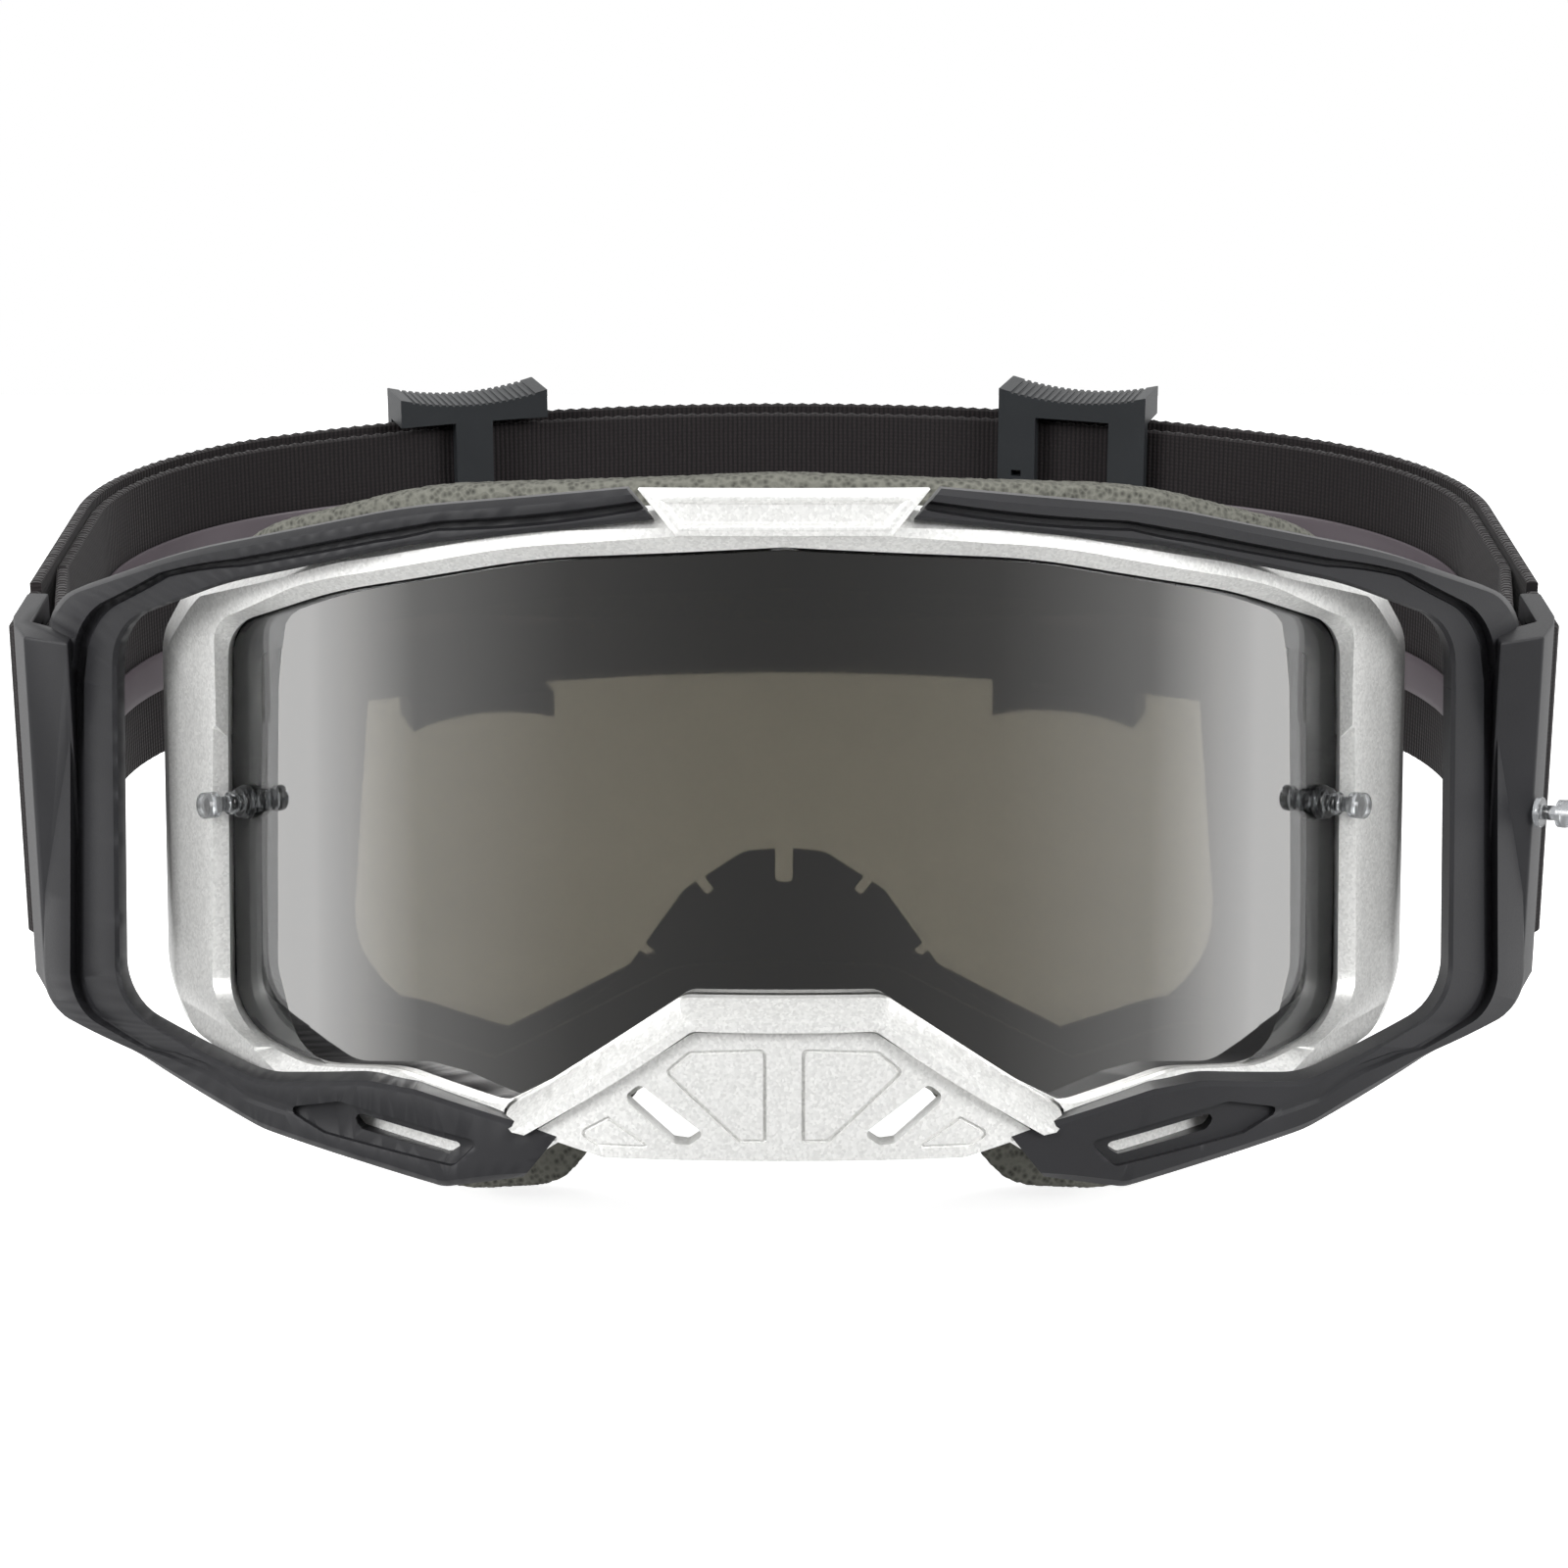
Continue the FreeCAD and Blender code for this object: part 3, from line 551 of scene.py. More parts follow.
def make_webbing(name, pale, dark, rib_mm, edge_mm):
    material, tree, shader = new_material(name)
    place_in = add(tree, "ShaderNodeTexCoord").outputs["UV"]
    rib = add(tree, "ShaderNodeTexWave", links={"Vector": place_in}, bands_direction="X",
              Scale=WAVE_LENGTH / (rib_mm * MM), Distortion=0.6, Detail=1.0)
    yarn = add(tree, "ShaderNodeTexWave", links={"Vector": place_in}, bands_direction="Y",
               Scale=WAVE_LENGTH / (edge_mm * MM), Distortion=1.2)
    weave = add(tree, "ShaderNodeMath", operation="MULTIPLY")
    tree.links.new(rib.outputs["Fac"], weave.inputs[0])
    tree.links.new(yarn.outputs["Fac"], weave.inputs[1])
    both = add(tree, "ShaderNodeMath", operation="ADD")
    tree.links.new(rib.outputs["Fac"], both.inputs[0])
    tree.links.new(weave.outputs[0], both.inputs[1])
    tone = ramp(tree, both.outputs[0], [(0.1, linear(dark)), (1.0, linear(pale))])
    tree.links.new(tone.outputs["Color"], shader.inputs["Base Color"])
    shader.inputs["Roughness"].default_value = 0.82
    shader.inputs["Specular IOR Level"].default_value = 0.2
    shader.inputs["Sheen Weight"].default_value = 0.08
    shader.inputs["Sheen Roughness"].default_value = 0.4
    bump = add(tree, "ShaderNodeBump", links={"Height": both.outputs[0]}, Strength=0.35,
               Distance=0.2 * MM)
    tree.links.new(bump.outputs["Normal"], shader.inputs["Normal"])
    return material


webbing = make_webbing("Black_woven_elastic", "1E1A1B", "0E0C0D", 0.75, 0.6)
thread = make_webbing("Black_bonded_thread", "3C3C3E", "18181A", 0.5, 0.5)
silicone = make_moulded("Grey_grip_silicone", "4A4448", 0.38, 0.8, 0.1)
print(len(bpy.data.materials), "materials")

# %% [markdown]
# ## Silver frame
#
# The front shell is one moulding: a rim with a flat face and a wide chamfer on each side, and a
# thin skirt that runs back over the inner frame. Its section hardly changes, so it is swept once
# round the lens between two matched outlines. Where the nose guard clips on, a recess is cut.

# %% Frame shell
OPENING = both_sides([
    (0, 28.8, 0), (30, 27.2, 90), (56, 22.2, 60), (71.6, 16.6, 6), (71.9, 2, 0), (72.2, -35.2, 8),
    (66, -37.4, 0), (60.5, -38.8, 12), (49, -37.6, 14), (35, -40.8, 5), (11.5, -27.6, 7), (0, -27.2, 0)])
FRAME = both_sides([
    (0, 34.2, 0), (34, 32.0, 90), (60, 26.8, 60), (78.2, 20.6, 3), (82.8, 14.0, 8), (82.8, -31, 10),
    (79.6, -37, 4), (61, -45.5, 20), (42, -48.6, 10), (30.5, -46.6, 6), (12.5, -34.4, 8), (0, -33.6, 0)])


def between(outer, inner, profile, where):
    """Rings of a section that spans two matched outlines: each entry is edge, inset, height."""
    rings = []
    for o, i in zip(outer, inner):
        way = (i - o).normalized()
        ring = []
        for edge, inset, height in profile:
            spot = o + way * inset if edge == "o" else i - way * inset
            ring.append(where(spot.x, spot.y, height))
        rings.append(ring)
    return rings


def matched(outer, inner, step=2.5, turn=4, closed=True):
    sizes = [max(a, b) for a, b in zip(runs(outer, step, closed), runs(inner, step, closed))]
    return outline(outer, sizes, turn, closed), outline(inner, sizes, turn, closed)


def offset(points, distance):
    """Move a closed outline, which runs clockwise, outwards by a distance."""
    moved = []
    for k, here in enumerate(points):
        along = points[(k + 1) % len(points)] - points[k - 1]
        moved.append(here + Vector((-along.y, along.x)).normalized() * distance)
    return moved


REAR = "rear"  # in place of a height: the skirt's rear edge
SKIRT_END = 10.0
RECESS_GAP = 0.4
RECESS_FLOOR = 0.4
PAST_FRONT = 12  # a height in front of every piece, for cutters


def shell_place(x, z, height):
    """The skirt's rear edge lies on the rear cylinder, and all the rest on the lens's."""
    return at_back(x, z, SKIRT_END) if height == REAR else at_height(x, z, height)


shell_profile = [("o", 0, REAR), ("o", 0, 1.7), ("o", 2.2, 4.0), ("i", 2.2, 4.0), ("i", 0, 1.6),
                 ("i", 0, -1.3), ("o", 2.0, -1.3), ("o", 2.0, REAR)]
frame_edge, opening_edge = matched(FRAME, OPENING, step=2.5, turn=7)
shell_rings = between(frame_edge, opening_edge, shell_profile, shell_place)
frame_shell = sweep("frame_shell_silver", shell_rings, closed=True)

GUARD = both_sides([(0, -25.4, 0), (12.2, -25.8, 3), (36.2, -42.3, 1.2), (29.5, -43.4, 3),
                    (22, -45.5, 4), (0, -45.4, 0)])
guard_edge = outline(GUARD, runs(GUARD, 2.0))
recess = plate("guard_recess", offset(guard_edge, RECESS_GAP), RECESS_FLOOR, PAST_FRONT)
slice_across(recess, 2.0)
wrap(recess)
carve(frame_shell, recess)
soften(frame_shell, 0.35, 2, 25)
smooth(frame_shell, 25)
finish_piece(frame_shell, "frame", "frame_silver", silver, "frame_shell")

# %% [markdown]
# ## Brow badge and nose guard
#
# Both are drawn flat. The badge is a plate whose face is inset and sunk, which leaves a ridge all
# round. The nose guard's top edge carries a chamfered ridge, which is swept and united with a
# plate. Grooves outline its panels and its vents are cut through. Then badge and guard are cut
# into strips and set on the lens's cylinder.

# %% Brow badge


def front_face(piece):
    """Select the foremost face of a flat piece in edit mode."""
    edit(piece)
    bpy.ops.mesh.select_all(action="DESELECT")
    bpy.ops.mesh.select_mode(type="FACE")
    mesh = bmesh.from_edit_mesh(piece.data)
    foremost = min(mesh.faces, key=lambda face: face.calc_center_median().y)
    foremost.select = True
    bmesh.update_edit_mesh(piece.data)


badge_corners = [(-17.5, 35.9), (17.5, 35.9), (12.9, 30.3), (-12.9, 30.3)]
badge = plate("brow_badge_plate", [Vector(corner) for corner in badge_corners], 1.5, 5.6)
front_face(badge)
# A chamfer, the flat top of the ridge, and the step down to the sunk face.
bpy.ops.mesh.inset(thickness=0.7 * MM, depth=0.6 * MM)
bpy.ops.mesh.inset(thickness=0.6 * MM, depth=0)
bpy.ops.mesh.inset(thickness=0.35 * MM, depth=-0.7 * MM)
bpy.ops.object.mode_set(mode="OBJECT")
slice_across(badge, 1.5)
wrap(badge)
soften(badge, 0.12, 2, 30)
smooth(badge, 30)
finish_piece(badge, "frame", "frame_silver", silver, "brow_badge")

# %% Nose guard
RIDGE_OUTER = [(-36.2, -42.3, 0), (-12.2, -25.8, 3), (12.2, -25.8, 3), (36.2, -42.3, 0)]
RIDGE_INNER = [(-31.0, -44.6, 0), (-10.9, -30.3, 2), (10.9, -30.3, 2), (31.0, -44.6, 0)]
guard_profile = [("o", 0, 0.9), ("o", 0, 3.2), ("o", 2.3, 7.0), ("o", 3.6, 7.0), ("o", 3.9, 5.0),
                 ("i", 0, 5.0), ("i", 0, 0.9)]


def flat_place(x, z, height):
    return (x, -height, z)


outer_line, inner_line = matched(RIDGE_OUTER, RIDGE_INNER, 2.0, 5, False)
ridge = sweep("guard_ridge", between(outer_line, inner_line, guard_profile, flat_place))
GUARD_BODY = both_sides([(0, -29.6, 0), (11.0, -29.7, 2), (32.4, -44.0, 0.6), (29.5, -44.2, 1),
                         (22, -45.5, 4), (0, -45.4, 0)])
guard = plate("nose_guard_plate", outline(GUARD_BODY, runs(GUARD_BODY, 2.0)), 0.8, 5.5)
LARGE_PANEL = [(2.1, -31.6, 0.8), (11.6, -32.0, 1), (14.6, -34.6, 0.7), (5.4, -43.2, 0.7),
               (2.1, -43.2, 0.5)]
SMALL_PANEL = [(21.4, -40.3, 0.5), (25.4, -42.6, 0.7), (22.6, -44.2, 0.6), (15.4, -44.2, 0.5)]
GUARD_SLOT = [(19.6, -38.0, 0.8), (17.6, -36.2, 0.8), (9.6, -42.2, 0.6), (11.6, -43.6, 0.8),
              (13.4, -43.4, 0.6)]
GROOVE_WIDTH = 0.45
GROOVE_FLOOR = 5.05


def pressed_line(points, low, high):
    """A cutter for a groove along an outline: a ring between two copies of it."""
    rings = [[(a.x, -low, a.y), (a.x, -high, a.y), (b.x, -high, b.y), (b.x, -low, b.y)]
             for a, b in zip(points, offset(points, -GROOVE_WIDTH))]
    return sweep("pressed_line", rings, closed=True)


def flipped(corners, side):
    """The corners for one side, still in clockwise order."""
    turned = [(side * x, z, r) for x, z, r in corners]
    return turned if side > 0 else list(reversed(turned))


carve(guard, ridge, "UNION")
carve(guard, plate("guard_limit", guard_edge, -5, PAST_FRONT), "INTERSECT")
for side in (-1, 1):
    for panel in (LARGE_PANEL, SMALL_PANEL):
        corners = flipped(panel, side)
        carve(guard, pressed_line(outline(corners, runs(corners, 1.5), 3), GROOVE_FLOOR, 8))
    corners = flipped(GUARD_SLOT, side)
    carve(guard, plate("guard_vent", outline(corners, runs(corners, 2.0), 3), -2, PAST_FRONT))
slice_across(guard, 2.0)
wrap(guard)
soften(guard, 0.15, 2, 32)
smooth(guard, 30)
finish_piece(guard, "nose_guard", "frame_silver", silver, "nose_guard")

# %% [markdown]
# ## Lens and its mirror film
#
# The lens is a sheet bent to its cylinder, made of upright strips. The film lies a twentieth of a
# millimetre in front of it and stops short of the frame at the ends, where the clear lens shows
# the black frame behind.

# %% Lens and film
LENS_THICKNESS = 1.2
LENS_PLAY = 0.4
POST_X, POST_Z = 69.3, -6.3
POST_HOLE_RADIUS = 1.1
FILM_LOW, FILM_HIGH = 0.05, 0.08
END_STRIPS = (0, 0.12, 0.35, 0.7, 1.2, 1.9, 2.8, 4.0, 5.5, 7.0)


def bent_sheet(name, points, low, high, step=2.0):
    """Sheet on the lens's cylinder: upright strips between the top and bottom of an outline.

    The strips get narrower towards the ends, where the outline turns.
    """
    end = max(point.x for point in points) - 0.02
    columns = [end - inset for inset in END_STRIPS]
    count = ceil(columns[-1] / step)
    columns += [columns[-1] * (count - k) / count for k in range(1, count)]
    columns = sorted(columns + [0.0] + [-x for x in columns])
    rings = []
    for x in columns:
        levels = []
        for a, b in zip(points, points[1:] + points[:1]):
            if (a.x - x) * (b.x - x) <= 0 and abs(a.x - b.x) > 1e-9:
                levels.append(a.y + (b.y - a.y) * (x - a.x) / (b.x - a.x))
        top, bottom = max(levels), min(levels)
        rings.append([at_height(x, top, high), at_height(x, bottom, high),
                      at_height(x, bottom, low), at_height(x, top, low)])
    return sweep(name, rings)


lens = bent_sheet("lens_clear", offset(opening_edge, -LENS_PLAY), -LENS_THICKNESS, 0)
for side in (-1, 1):
    spot = Vector(at_height(side * POST_X, POST_Z, 0)) * MM
    lean = Vector((side * POST_X, -sqrt(LENS_RADIUS ** 2 - POST_X ** 2), 0)).to_track_quat("Z", "Y")
    bpy.ops.object.select_all(action="DESELECT")
    bpy.ops.mesh.primitive_cylinder_add(radius=POST_HOLE_RADIUS * MM, depth=8 * MM, vertices=24,
                                        location=spot, rotation=lean.to_euler())
    carve(lens, bpy.context.object)
smooth(lens, 30)
finish_piece(lens, "lens_unit", "lens_mirror", polycarbonate, "lens")

MIRROR = both_sides([
    (0, 28.3, 0), (30, 26.7, 90), (56, 21.6, 60), (63.4, 18.4, 4), (64.6, 8, 10), (65.2, -27, 6),
    (62.6, -36.6, 6), (57, -39.2, 4), (49, -38.1, 14), (35, -41.3, 5), (11.5, -28.1, 7), (0, -27.7, 0)])
coating = bent_sheet("lens_coating", outline(MIRROR, runs(MIRROR, 1.0), 8), FILM_LOW, FILM_HIGH)
smooth(coating, 30)
finish_piece(coating, "lens_unit", "lens_mirror", film)

# %% [markdown]
# ## Outriggers
#
# Each strap arm is a loop of stiff nylon that stands clear of the frame. Its section changes as
# it goes: a thin arm with a sunk channel at the top, a broad stepped pillar at the side, and a
# plain arm that widens into a vented pod below. So each station of the sweep has its own section.

# %% Outrigger arm
ARM_OUTER = [(18.8, 35.9, 0), (46, 33.2, 90), (76, 26.6, 90), (96.2, 19.3, 8), (99.0, 10.0, 10),
             (100.0, -36.0, 5), (84, -39.0, 20), (66, -45.9, 16), (52, -48.6, 0), (42, -50.6, 4),
             (32, -48.6, 0)]
ARM_INNER = [(15.6, 32.2, 0), (46, 28.6, 60), (70, 23.0, 50), (86.2, 16.6, 8), (86.5, 8.0, 10),
             (87.0, -33.6, 7), (76, -36.8, 12), (66, -39.8, 12), (52, -38.0, 12), (45.5, -38.6, 6),
             (27.6, -43.0, 0)]
# Section at each corner: width of the raised face, of the channel, depth of channel and of inner face.
ARM_SECTIONS = [(1.0, 1.3, 1.7, 0.3), (1.2, 1.3, 1.8, 0.5), (1.4, 1.4, 1.8, 0.8), (4.2, 2.2, 1.8, 1.2),
                (4.6, 2.3, 1.9, 1.3), (4.6, 2.3, 1.9, 1.3), (2.0, 1.6, 0.8, 0.6), (2.0, 1.4, 0.3, 0.2),
                (2.2, 1.4, 0.05, 0.0), (2.2, 1.4, 0.0, 0.0), (1.6, 1.4, 0.0, 0.0)]
ARM_THICKNESS = 6.0
ARM_TURN = 8
EDGE = 0.9  # width and depth of the chamfer along the outer edge


def arm_rings():
    """Rings along the arm, with the section blended from corner to corner."""
    sizes = [max(a, b) for a, b in zip(runs(ARM_OUTER, 2.0, False), runs(ARM_INNER, 2.0, False))]
    outer = outline(ARM_OUTER, sizes, ARM_TURN, False)
    inner = outline(ARM_INNER, sizes, ARM_TURN, False)
    shares = [0.0]
    for k, pieces in enumerate(sizes):
        shares += [k + j / pieces for j in range(1, pieces)]
        shares += [float(k + 1)] * (ARM_TURN + 1 if k + 1 < len(ARM_OUTER) - 1 else 1)
    rings = []
    for o, i, share in zip(outer, inner, shares):
        low = min(int(share), len(ARM_SECTIONS) - 2)
        blend = share - low
        face, channel, sunk, inside = (a + (b - a) * blend
                                       for a, b in zip(ARM_SECTIONS[low], ARM_SECTIONS[low + 1]))
        profile = [("o", 0, ARM_THICKNESS), ("o", 0, EDGE), ("o", EDGE, 0), ("o", EDGE + face, 0),
                   ("o", 1.4 + face, sunk), ("o", 1.4 + face + channel * 0.5, sunk),
                   ("o", 1.7 + face + channel * 0.5, inside), ("i", 0.6, inside), ("i", 0, inside + 0.6),
                   ("i", 0, ARM_THICKNESS)]
        rings += between([o], [i], profile, at_depth)
    return rings


arm = sweep("outrigger_arm", arm_rings())
print("arm", len(arm.data.vertices), "vertices")

# %% [markdown]
# The pod's pocket and vent are cut with plates bent to the arm's cylinder. The ear behind the pillar
# is a plate with an upright slot, drawn in plan and then tilted with the head band.

# %% Pod pocket, vent and strap ear
STRAP_PITCH = radians(12)
PIVOT_Y, PIVOT_Z = 56.0, -8.0
STRAP_WIDTH = 44.0


def on_band(x, y, z):
    """Point of the level drawing of the head band, tilted into its sloping plane."""
    level, tall = y - PIVOT_Y, z
    return (x, PIVOT_Y + level * cos(STRAP_PITCH) - tall * sin(STRAP_PITCH) + LENS_FRONT,
            level * sin(STRAP_PITCH) + tall * cos(STRAP_PITCH) + PIVOT_Z)


def arm_cutter(name, corners, front, back):
    """Cutter over an outline, between two depths behind the outriggers' front face."""
    cutter = plate(name, outline(corners, runs(corners, 2.0), 3), -back, -front)
    slice_across(cutter, 2.0)
    wrap_on_arm(cutter)
    return cutter


POCKET_DEPTH = 1.2
THROUGH = 9  # a depth behind the whole arm
POCKET = [(63.0, -42.6, 0.6), (57.5, -45.2, 2), (40.8, -47.8, 1.2), (37.4, -44.4, 0.6), (55.4, -40.9, 1.5)]
VENT = [(54.6, -42.1, 0.7), (52.6, -44.4, 0.8), (41.2, -46.5, 0.6), (39.2, -45.1, 0.5)]
carve(arm, arm_cutter("pod_pocket", POCKET, -2, POCKET_DEPTH))
carve(arm, arm_cutter("pod_vent", VENT, -2, THROUGH))


def upright(name, points, low, high):
    """Prism over a plan outline, between two levels across the band, tilted with the band."""
    piece = filled_circle(name, len(points))
    place(piece, [(x, y, low) for x, y in points])
    bpy.ops.object.mode_set(mode="EDIT")
    bpy.ops.mesh.select_all(action="SELECT")
    bpy.ops.mesh.extrude_region_move(TRANSFORM_OT_translate={"value": (0, 0, (high - low) * MM)})
    tidy(piece)
    for vertex in piece.data.vertices:
        vertex.co = Vector(on_band(*(vertex.co / MM))) * MM
    return piece


EAR_OUT, EAR_IN, EAR_REAR = 102.7, 99.7, 66.5
EAR_HALF_HEIGHT = 25.0
SLOT_FRONT, SLOT_REAR, SLOT_HALF_HEIGHT = 56.4, 61.0, 22.4
ear_plan = [(93.2, 43.0), (99.5, 46.0), (102.0, 52.5), (EAR_OUT, 56.0), (EAR_OUT, EAR_REAR),
            (EAR_IN, EAR_REAR), (EAR_IN, 53.3), (93.2, 48.2)]
slot_plan = [(EAR_IN - 8, SLOT_FRONT), (EAR_OUT + 5, SLOT_FRONT), (EAR_OUT + 5, SLOT_REAR),
             (EAR_IN - 8, SLOT_REAR)]
ear = upright("strap_ear", ear_plan, -EAR_HALF_HEIGHT, EAR_HALF_HEIGHT)
carve(ear, upright("ear_slot", slot_plan, -SLOT_HALF_HEIGHT, SLOT_HALF_HEIGHT))
soften(ear, 0.5, 2, 35)
carve(arm, ear, "UNION")
soften(arm, 0.22, 2, 28)
smooth(arm, 28)
arm_left = arm
arm_right = mirror_copy(arm, "outrigger_right_arm")
arm_left.name = "outrigger_left_arm"
finish_piece(arm_left, "frame", "outrigger_black", nylon, "outrigger_left")
finish_piece(arm_right, "frame", "outrigger_black", nylon, "outrigger_right")

# %% [markdown]
# ## Pieces that keep the CAD's shape
#
# The carrier, the nose bridge, the sliders, the posts and the vent foams have the right shape
# already, but their edges are knife sharp. A copy of each is merged, its flat faces are joined,
# and its edges get the small radius that a mould leaves.

# %% Softened copies of moulded parts


def softened(node, name, body, slot, material, radius):
    """A finished copy of a CAD node, with its edges rounded."""
    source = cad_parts[node]
    piece = bpy.data.objects.new(name, source.data.copy())
    bpy.context.collection.objects.link(piece)
    edit(piece)
    bpy.ops.mesh.select_all(action="SELECT")
    bpy.ops.mesh.remove_doubles(threshold=0.00001)
    bpy.ops.mesh.dissolve_limited(angle_limit=radians(1.0))
    bpy.ops.mesh.normals_make_consistent(inside=False)
    bpy.ops.object.mode_set(mode="OBJECT")
    soften(piece, radius, 2, 35)
    smooth(piece, 32)
    finish_piece(piece, body, slot, material, node)


softened("inner_frame", "inner_frame_black", "frame", "frame_black", polymer, 0.3)
softened("nose_bridge", "nose_bridge_flap", "frame", "bridge_rubber", bridge_rubber, 0.3)
softened("brow_vent_foam", "brow_vent_strip", "frame", "foam_grey", dark_foam, 0.3)
softened("outrigger_post", "outrigger_post_clear", "frame", "post_clear", post_plastic, 0.15)
for side in ("left", "right"):
    softened("vent_foam_" + side, "vent_foam_pad_" + side, "frame", "foam_grey", foam, 0.3)
    softened("tearoff_post_" + side, "tearoff_post_clear_" + side, "lens_unit", "post_clear",
             post_plastic, 0.2)
    softened("tearoff_washer_" + side, "tearoff_washer_ring_" + side, "lens_unit", "post_clear",
             post_plastic, 0.12)
    softened("post_retainer_" + side, "post_retainer_ring_" + side, "lens_unit", "post_clear",
             post_plastic, 0.12)
    softened("strap_slider_" + side, "strap_slider_frame_" + side, "slider_" + side, "slider_black",
             slider_nylon, 0.25)

# %% [markdown]
# ## Face foam
#
# Three layers are glued together: coarse foam on the frame, finer foam, and fleece on the skin.
# Each is a closed ring with soft rolled edges, swept between the foam's outline and the eye hole.

# %% Foam layers
FOAM = both_sides([(0, 36.5, 0), (46, 34.5, 60), (74, 27, 16), (81.5, 10, 20), (80, -30, 20),
                   (62, -49.5, 26), (44, -58.5, 14), (29, -56.5, 8), (13, -36, 9), (0, -34, 0)])
EYE = both_sides([(0, 17.5, 0), (38, 17.6, 0), (54, 17.5, 6), (55.6, -2, 0), (58, -32, 14),
                  (50, -36.2, 0), (40, -41.5, 12), (30, -40.5, 9), (12, -23.5, 9), (0, -22.5, 0)])
foam_edge, eye_edge = matched(FOAM, EYE, 3.0)


def foam_layer(name, node, front, thickness, inset, roll, material, slot, ragged):
    """Ring with rolled edges whose sides are a little ragged, as cut foam is."""
    rear = front + thickness
    middle = (front + rear) / 2
    half_side = [(inset + roll, front), (inset + roll * 0.2, front + roll * 0.8), (inset, middle),
                 (inset + roll * 0.2, rear - roll * 0.8), (inset + roll, rear)]
    profile = [("o", *spot) for spot in half_side] + [("i", *spot) for spot in reversed(half_side)]
    layer = sweep(name, between(foam_edge, eye_edge, profile, at_back), closed=True)
    apply_modifier(layer, "SUBSURF", levels=2, render_levels=2)
    normals = [vertex.normal.copy() for vertex in layer.data.vertices]
    for vertex, normal in zip(layer.data.vertices, normals):
        vertex.co += normal * random.uniform(-ragged, ragged) * MM
    smooth(layer, 60)
    finish_piece(layer, "frame", slot, material, node)


# Front and thickness, then the inset and the roll of the edges, all in millimetres.
foam_layer("face_foam_coarse", "face_foam_base", 25.2, 8.7, 0.0, 0.8, foam, "foam_grey", 0.1)
foam_layer("face_foam_fine", "face_foam_mid", 34.2, 6.7, 1.2, 0.9, dark_foam, "foam_grey", 0.08)
foam_layer("face_foam_skin", "face_foam_fleece", 41.2, 2.1, 2.0, 0.7, fleece, "fleece_grey", 0.06)

# %% [markdown]
# ## Head band
#
# The band is 44 mm elastic webbing in two layers. Seen from above, its route is straight beside the
# head, turns in at the temples and closes behind in one wide arc. The inner layer's ends are looped
# forward round the bars of the ears. A section is swept along each route, and its edges step in and
# out a little where the weft turns back.

# %% Band routes
BAND_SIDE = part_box("strap_outer_band")[1][0] / MM
BAND_THICK = 1.6
BAND_TURN = 50.0
BAND_BACK = 160.0
BAND_BACK_Y = 183.0


def band_arcs(inset, step=1.0):
    """Half of the band's plan behind the temple, at an inset from the outer face."""
    centre = BAND_BACK_Y - BAND_BACK
    corner_x = BAND_SIDE - BAND_TURN
    corner_y = centre + sqrt((BAND_BACK - BAND_TURN) ** 2 - corner_x ** 2)
    turn = atan2(corner_y - centre, corner_x)
    small, large = BAND_TURN - inset, BAND_BACK - inset
    count = ceil(small * turn / step)
    route = [Vector((corner_x + small * cos(turn * k / count), corner_y + small * sin(turn * k / count)))
             for k in range(count + 1)]
    rest = pi / 2 - turn
    count = ceil(large * rest / step)
    for k in range(1, count + 1):
        angle = turn + rest * k / count
        route.append(Vector((large * cos(angle), centre + large * sin(angle))))
    return route


def full_route(inset, front):
    """The whole route from one end to the other, with the front part as rounded corners."""
    arcs = band_arcs(inset)
    corners = front + [(arcs[0].x, arcs[0].y, 0)]
    half = outline(corners, runs(corners, 1.0, False), 6, False) + arcs[1:]
    return half + [Vector((-p.x, p.y)) for p in reversed(half[:-1])]


def band_piece(name, route, low, high, thickness, notch):
    """Webbing of a width and thickness along a route in plan, with its UV map in metres."""
    width = high - low
    across = [low + 0.25, low + 1.2, low + width * 0.3, low + width * 0.7, high - 1.2, high - 0.25]
    half = thickness / 2
    section = [(z, half) for z in across] + [(high, half * 0.4), (high, -half * 0.4)]
    section += [(z, -half) for z in reversed(across)] + [(low, -half * 0.4), (low, half * 0.4)]
    rings, marks, run = [], [], 0.0
    for k, here in enumerate(route):
        ahead = route[min(k + 1, len(route) - 1)] - route[max(k - 1, 0)]
        normal = Vector((ahead.y, -ahead.x)).normalized()
        run += (here - route[k - 1]).length if k else 0.0
        shift = notch if k % 2 else -notch
        ring = []
        for z, through in section:
            edge = shift if z in (low, high) else 0.0
            tall = z + (edge if z == high else -edge)
            ring.append(on_band(here.x + normal.x * through, here.y + normal.y * through, tall))
        rings.append(ring)
        marks.append([(run * MM, z * MM) for z, _ in section])
    piece = sweep(name, rings, marks=marks)
    smooth(piece, 50)
    return piece


HALF = STRAP_WIDTH / 2
NOTCH = 0.12
outer_route = full_route(BAND_THICK / 2, [(BAND_SIDE - BAND_THICK / 2, 78.2, 0)])
outer_band = band_piece("strap_outer_webbing", outer_route, -HALF + 1.2, HALF + 1.2, BAND_THICK,
                        NOTCH)
finish_piece(outer_band, "frame", "strap_black", webbing, "strap_outer_band")

loop_out = BAND_SIDE - BAND_THICK / 2
loop_in = EAR_IN - 0.2 - BAND_THICK / 2
inner_front = [(loop_out, 77.8, 0), (loop_out, 60.0, 2.0), (loop_in, 60.0, 2.0), (loop_in, 68.5, 8),
               (BAND_SIDE - 2.5, 90.0, 12)]
inner_route = full_route(BAND_THICK * 1.5 + 0.1, inner_front)
inner_band = band_piece("strap_inner_webbing", inner_route, -HALF, HALF, BAND_THICK, NOTCH)
finish_piece(inner_band, "frame", "strap_black", webbing, "strap_inner_band")

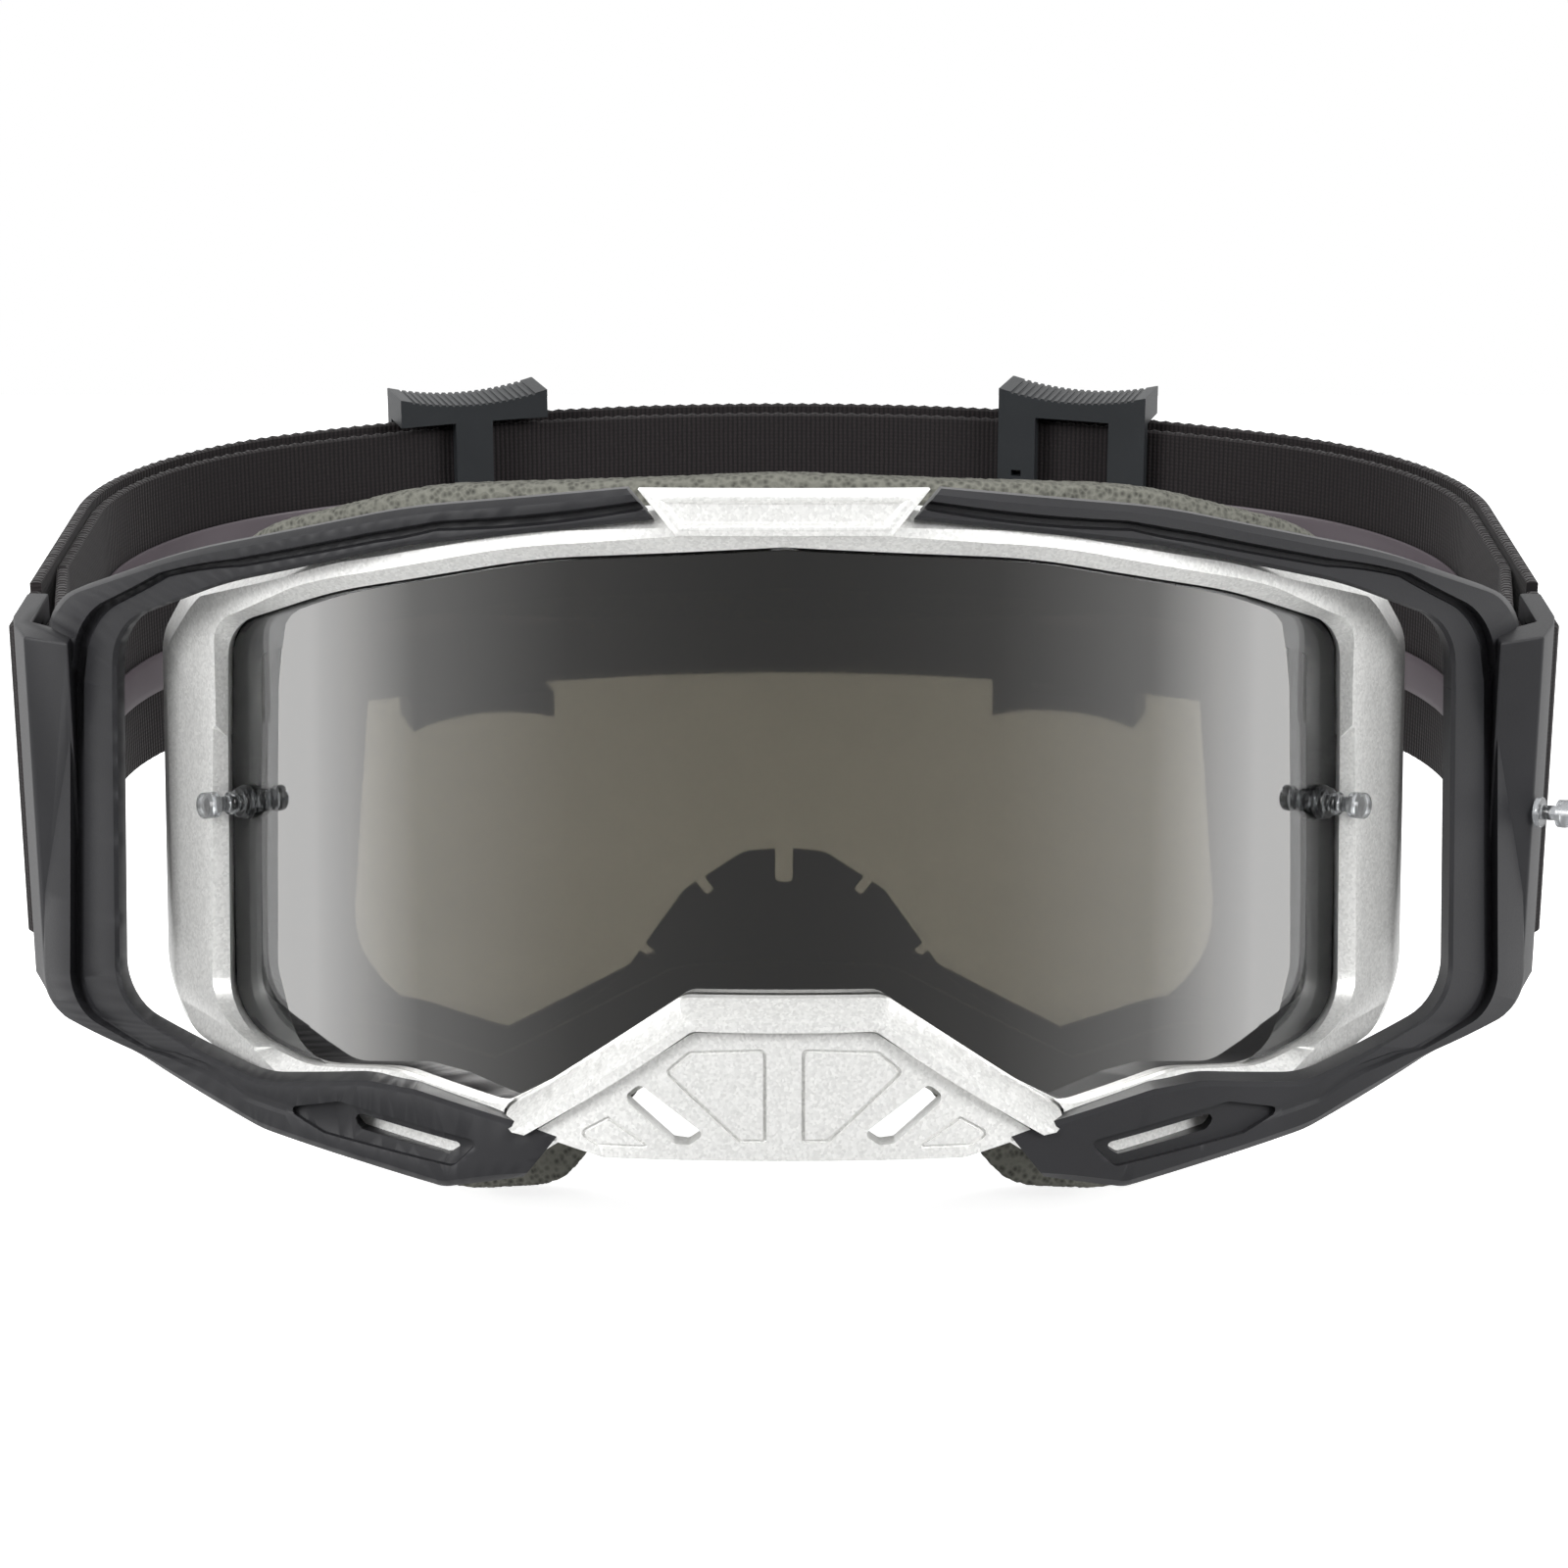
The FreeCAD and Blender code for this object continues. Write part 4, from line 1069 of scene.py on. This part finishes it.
# %% Silicone lines and bar tacks
stripe_route = full_route(2 * BAND_THICK + 0.5, [(BAND_SIDE - 2 * BAND_THICK - 0.5, 96.0, 0)])
for name, level in (("upper", 8.5), ("lower", -8.5)):
    stripe = band_piece("silicone_line_" + name, stripe_route, level - 3, level + 3, 0.6, 0.0)
    finish_piece(stripe, "frame", "stripe_silicone", silicone, "silicone_stripe_" + name)


STITCHES = 76
STITCH_STEP = 0.5
STITCH_REACH = 2.3
THREAD_RADIUS = 0.3
TACK_Y, TACK_LOW = 77.9, -19.0


def bar_tack(side):
    """Close zigzag of thread over the loop's end, on the outer face of the band."""
    rings = []
    for k in range(STITCHES):
        y = TACK_Y + (STITCH_REACH if k % 2 else -STITCH_REACH)
        z = TACK_LOW + k * STITCH_STEP
        ring = []
        for turn in range(6):
            angle = turn * pi / 3
            out = BAND_SIDE + 0.35 + THREAD_RADIUS * cos(angle)
            ring.append(on_band(side * out, y, z + THREAD_RADIUS * sin(angle)))
        rings.append(ring)
    tack = sweep("bar_tack_left" if side > 0 else "bar_tack_right", rings)
    smooth(tack, 60)
    return tack


for side, name in ((1, "left"), (-1, "right")):
    finish_piece(bar_tack(side), "frame", "thread_black", thread, "strap_bartack_" + name)

# %% [markdown]
# ## Floor, world and lamps
#
# The goggles hang just over a plain pale floor. The background is white to the camera and through
# clear plastic. A mirror shows its surroundings, so the world is darker in front, where a dim
# room would be, and brighter at the sides and behind: that is what gives the lens its dark
# middle and bright ends. Two large lamps light the goggles from the sides, and two weak ones
# from the front and from above.

# %% Floor and world
bpy.ops.object.select_all(action="DESELECT")
FLOOR_GAP = 2.0
floor_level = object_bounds()[0][2] - FLOOR_GAP * MM
bpy.ops.mesh.primitive_plane_add(size=8.0, location=(0, 0, floor_level))
floor = bpy.context.object
floor.name = "studio_floor"
floor_material, floor_tree, floor_shader = new_material("White_painted_floor")
floor_shader.inputs["Base Color"].default_value = linear("F4F4F4")
floor_shader.inputs["Roughness"].default_value = 0.8
floor_rays = add(floor_tree, "ShaderNodeLightPath")
shown = add(floor_tree, "ShaderNodeMath", operation="MAXIMUM")
floor_tree.links.new(floor_rays.outputs["Is Camera Ray"], shown.inputs[0])
floor_tree.links.new(floor_rays.outputs["Is Transmission Ray"], shown.inputs[1])
glow = add(floor_tree, "ShaderNodeMath", links={0: shown.outputs[0]}, operation="MULTIPLY")
glow.inputs[1].default_value = 0.75
floor_shader.inputs["Emission Color"].default_value = (1, 1, 1, 1)
floor_tree.links.new(glow.outputs[0], floor_shader.inputs["Emission Strength"])
floor.data.materials.append(floor_material)
floor.visible_glossy = False

world = bpy.data.worlds.new("Studio_world")
bpy.context.scene.world = world
world.use_nodes = True
sky = world.node_tree
sky.nodes.clear()
toward = add(sky, "ShaderNodeTexCoord").outputs["Generated"]
split = add(sky, "ShaderNodeSeparateXYZ", links={"Vector": toward})
room = ramp(sky, add(sky, "ShaderNodeMapRange", links={"Value": split.outputs["Y"]}, From_Min=-1.0,
                     From_Max=1.0).outputs["Result"],
            [(0.0, (0.07, 0.07, 0.07, 1)), (0.1, (0.11, 0.11, 0.11, 1)),
             (0.3, (0.3, 0.3, 0.3, 1)), (0.5, (1, 1, 1, 1))])
rays = add(sky, "ShaderNodeLightPath")
mirror_back = add(sky, "ShaderNodeBackground", links={"Color": room.outputs["Color"]}, Strength=1.4)
plain_back = add(sky, "ShaderNodeBackground", Color=(1, 1, 1, 1), Strength=0.55)
white_back = add(sky, "ShaderNodeBackground", Color=(1, 1, 1, 1), Strength=1.0)
seen = add(sky, "ShaderNodeMath", operation="MAXIMUM")
sky.links.new(rays.outputs["Is Camera Ray"], seen.inputs[0])
sky.links.new(rays.outputs["Is Transmission Ray"], seen.inputs[1])
first = add(sky, "ShaderNodeMixShader", links={"Fac": rays.outputs["Is Glossy Ray"]})
sky.links.new(plain_back.outputs[0], first.inputs[1])
sky.links.new(mirror_back.outputs[0], first.inputs[2])
second = add(sky, "ShaderNodeMixShader", links={"Fac": seen.outputs[0]})
sky.links.new(first.outputs[0], second.inputs[1])
sky.links.new(white_back.outputs[0], second.inputs[2])
add(sky, "ShaderNodeOutputWorld", links={"Surface": second.outputs[0]})

# %% Lamps and camera


def lamp(name, spot, size, watts):
    data = bpy.data.lights.new(name, "AREA")
    data.size = size
    data.energy = watts
    thing = bpy.data.objects.new(name, data)
    thing.location = spot
    thing.rotation_euler = (-Vector(spot)).to_track_quat("-Z", "Y").to_euler()
    bpy.context.collection.objects.link(thing)


lamp("key_lamp", (-1.05, -0.9, 0.5), 0.7, 23.0)
lamp("fill_lamp", (1.05, -0.9, 0.5), 0.7, 19.0)
lamp("front_lamp", (0.0, -1.3, 0.7), 0.7, 4.0)
lamp("top_lamp", (0.0, 0.2, 1.3), 0.8, 4.0)

camera_data = bpy.data.cameras.new("camera")
camera_data.lens = 92.8125
camera_data.sensor_width = 36.0
camera_data.clip_start = 0.01
camera = bpy.data.objects.new("camera", camera_data)
tilt = radians(7)
reach = 0.490
camera.location = (0, LENS_FRONT * MM - reach * cos(tilt), reach * sin(tilt))
camera.rotation_euler = (radians(90) - tilt, 0, 0)
bpy.context.collection.objects.link(camera)
bpy.context.scene.camera = camera
bpy.context.scene.view_settings.view_transform = "Standard"
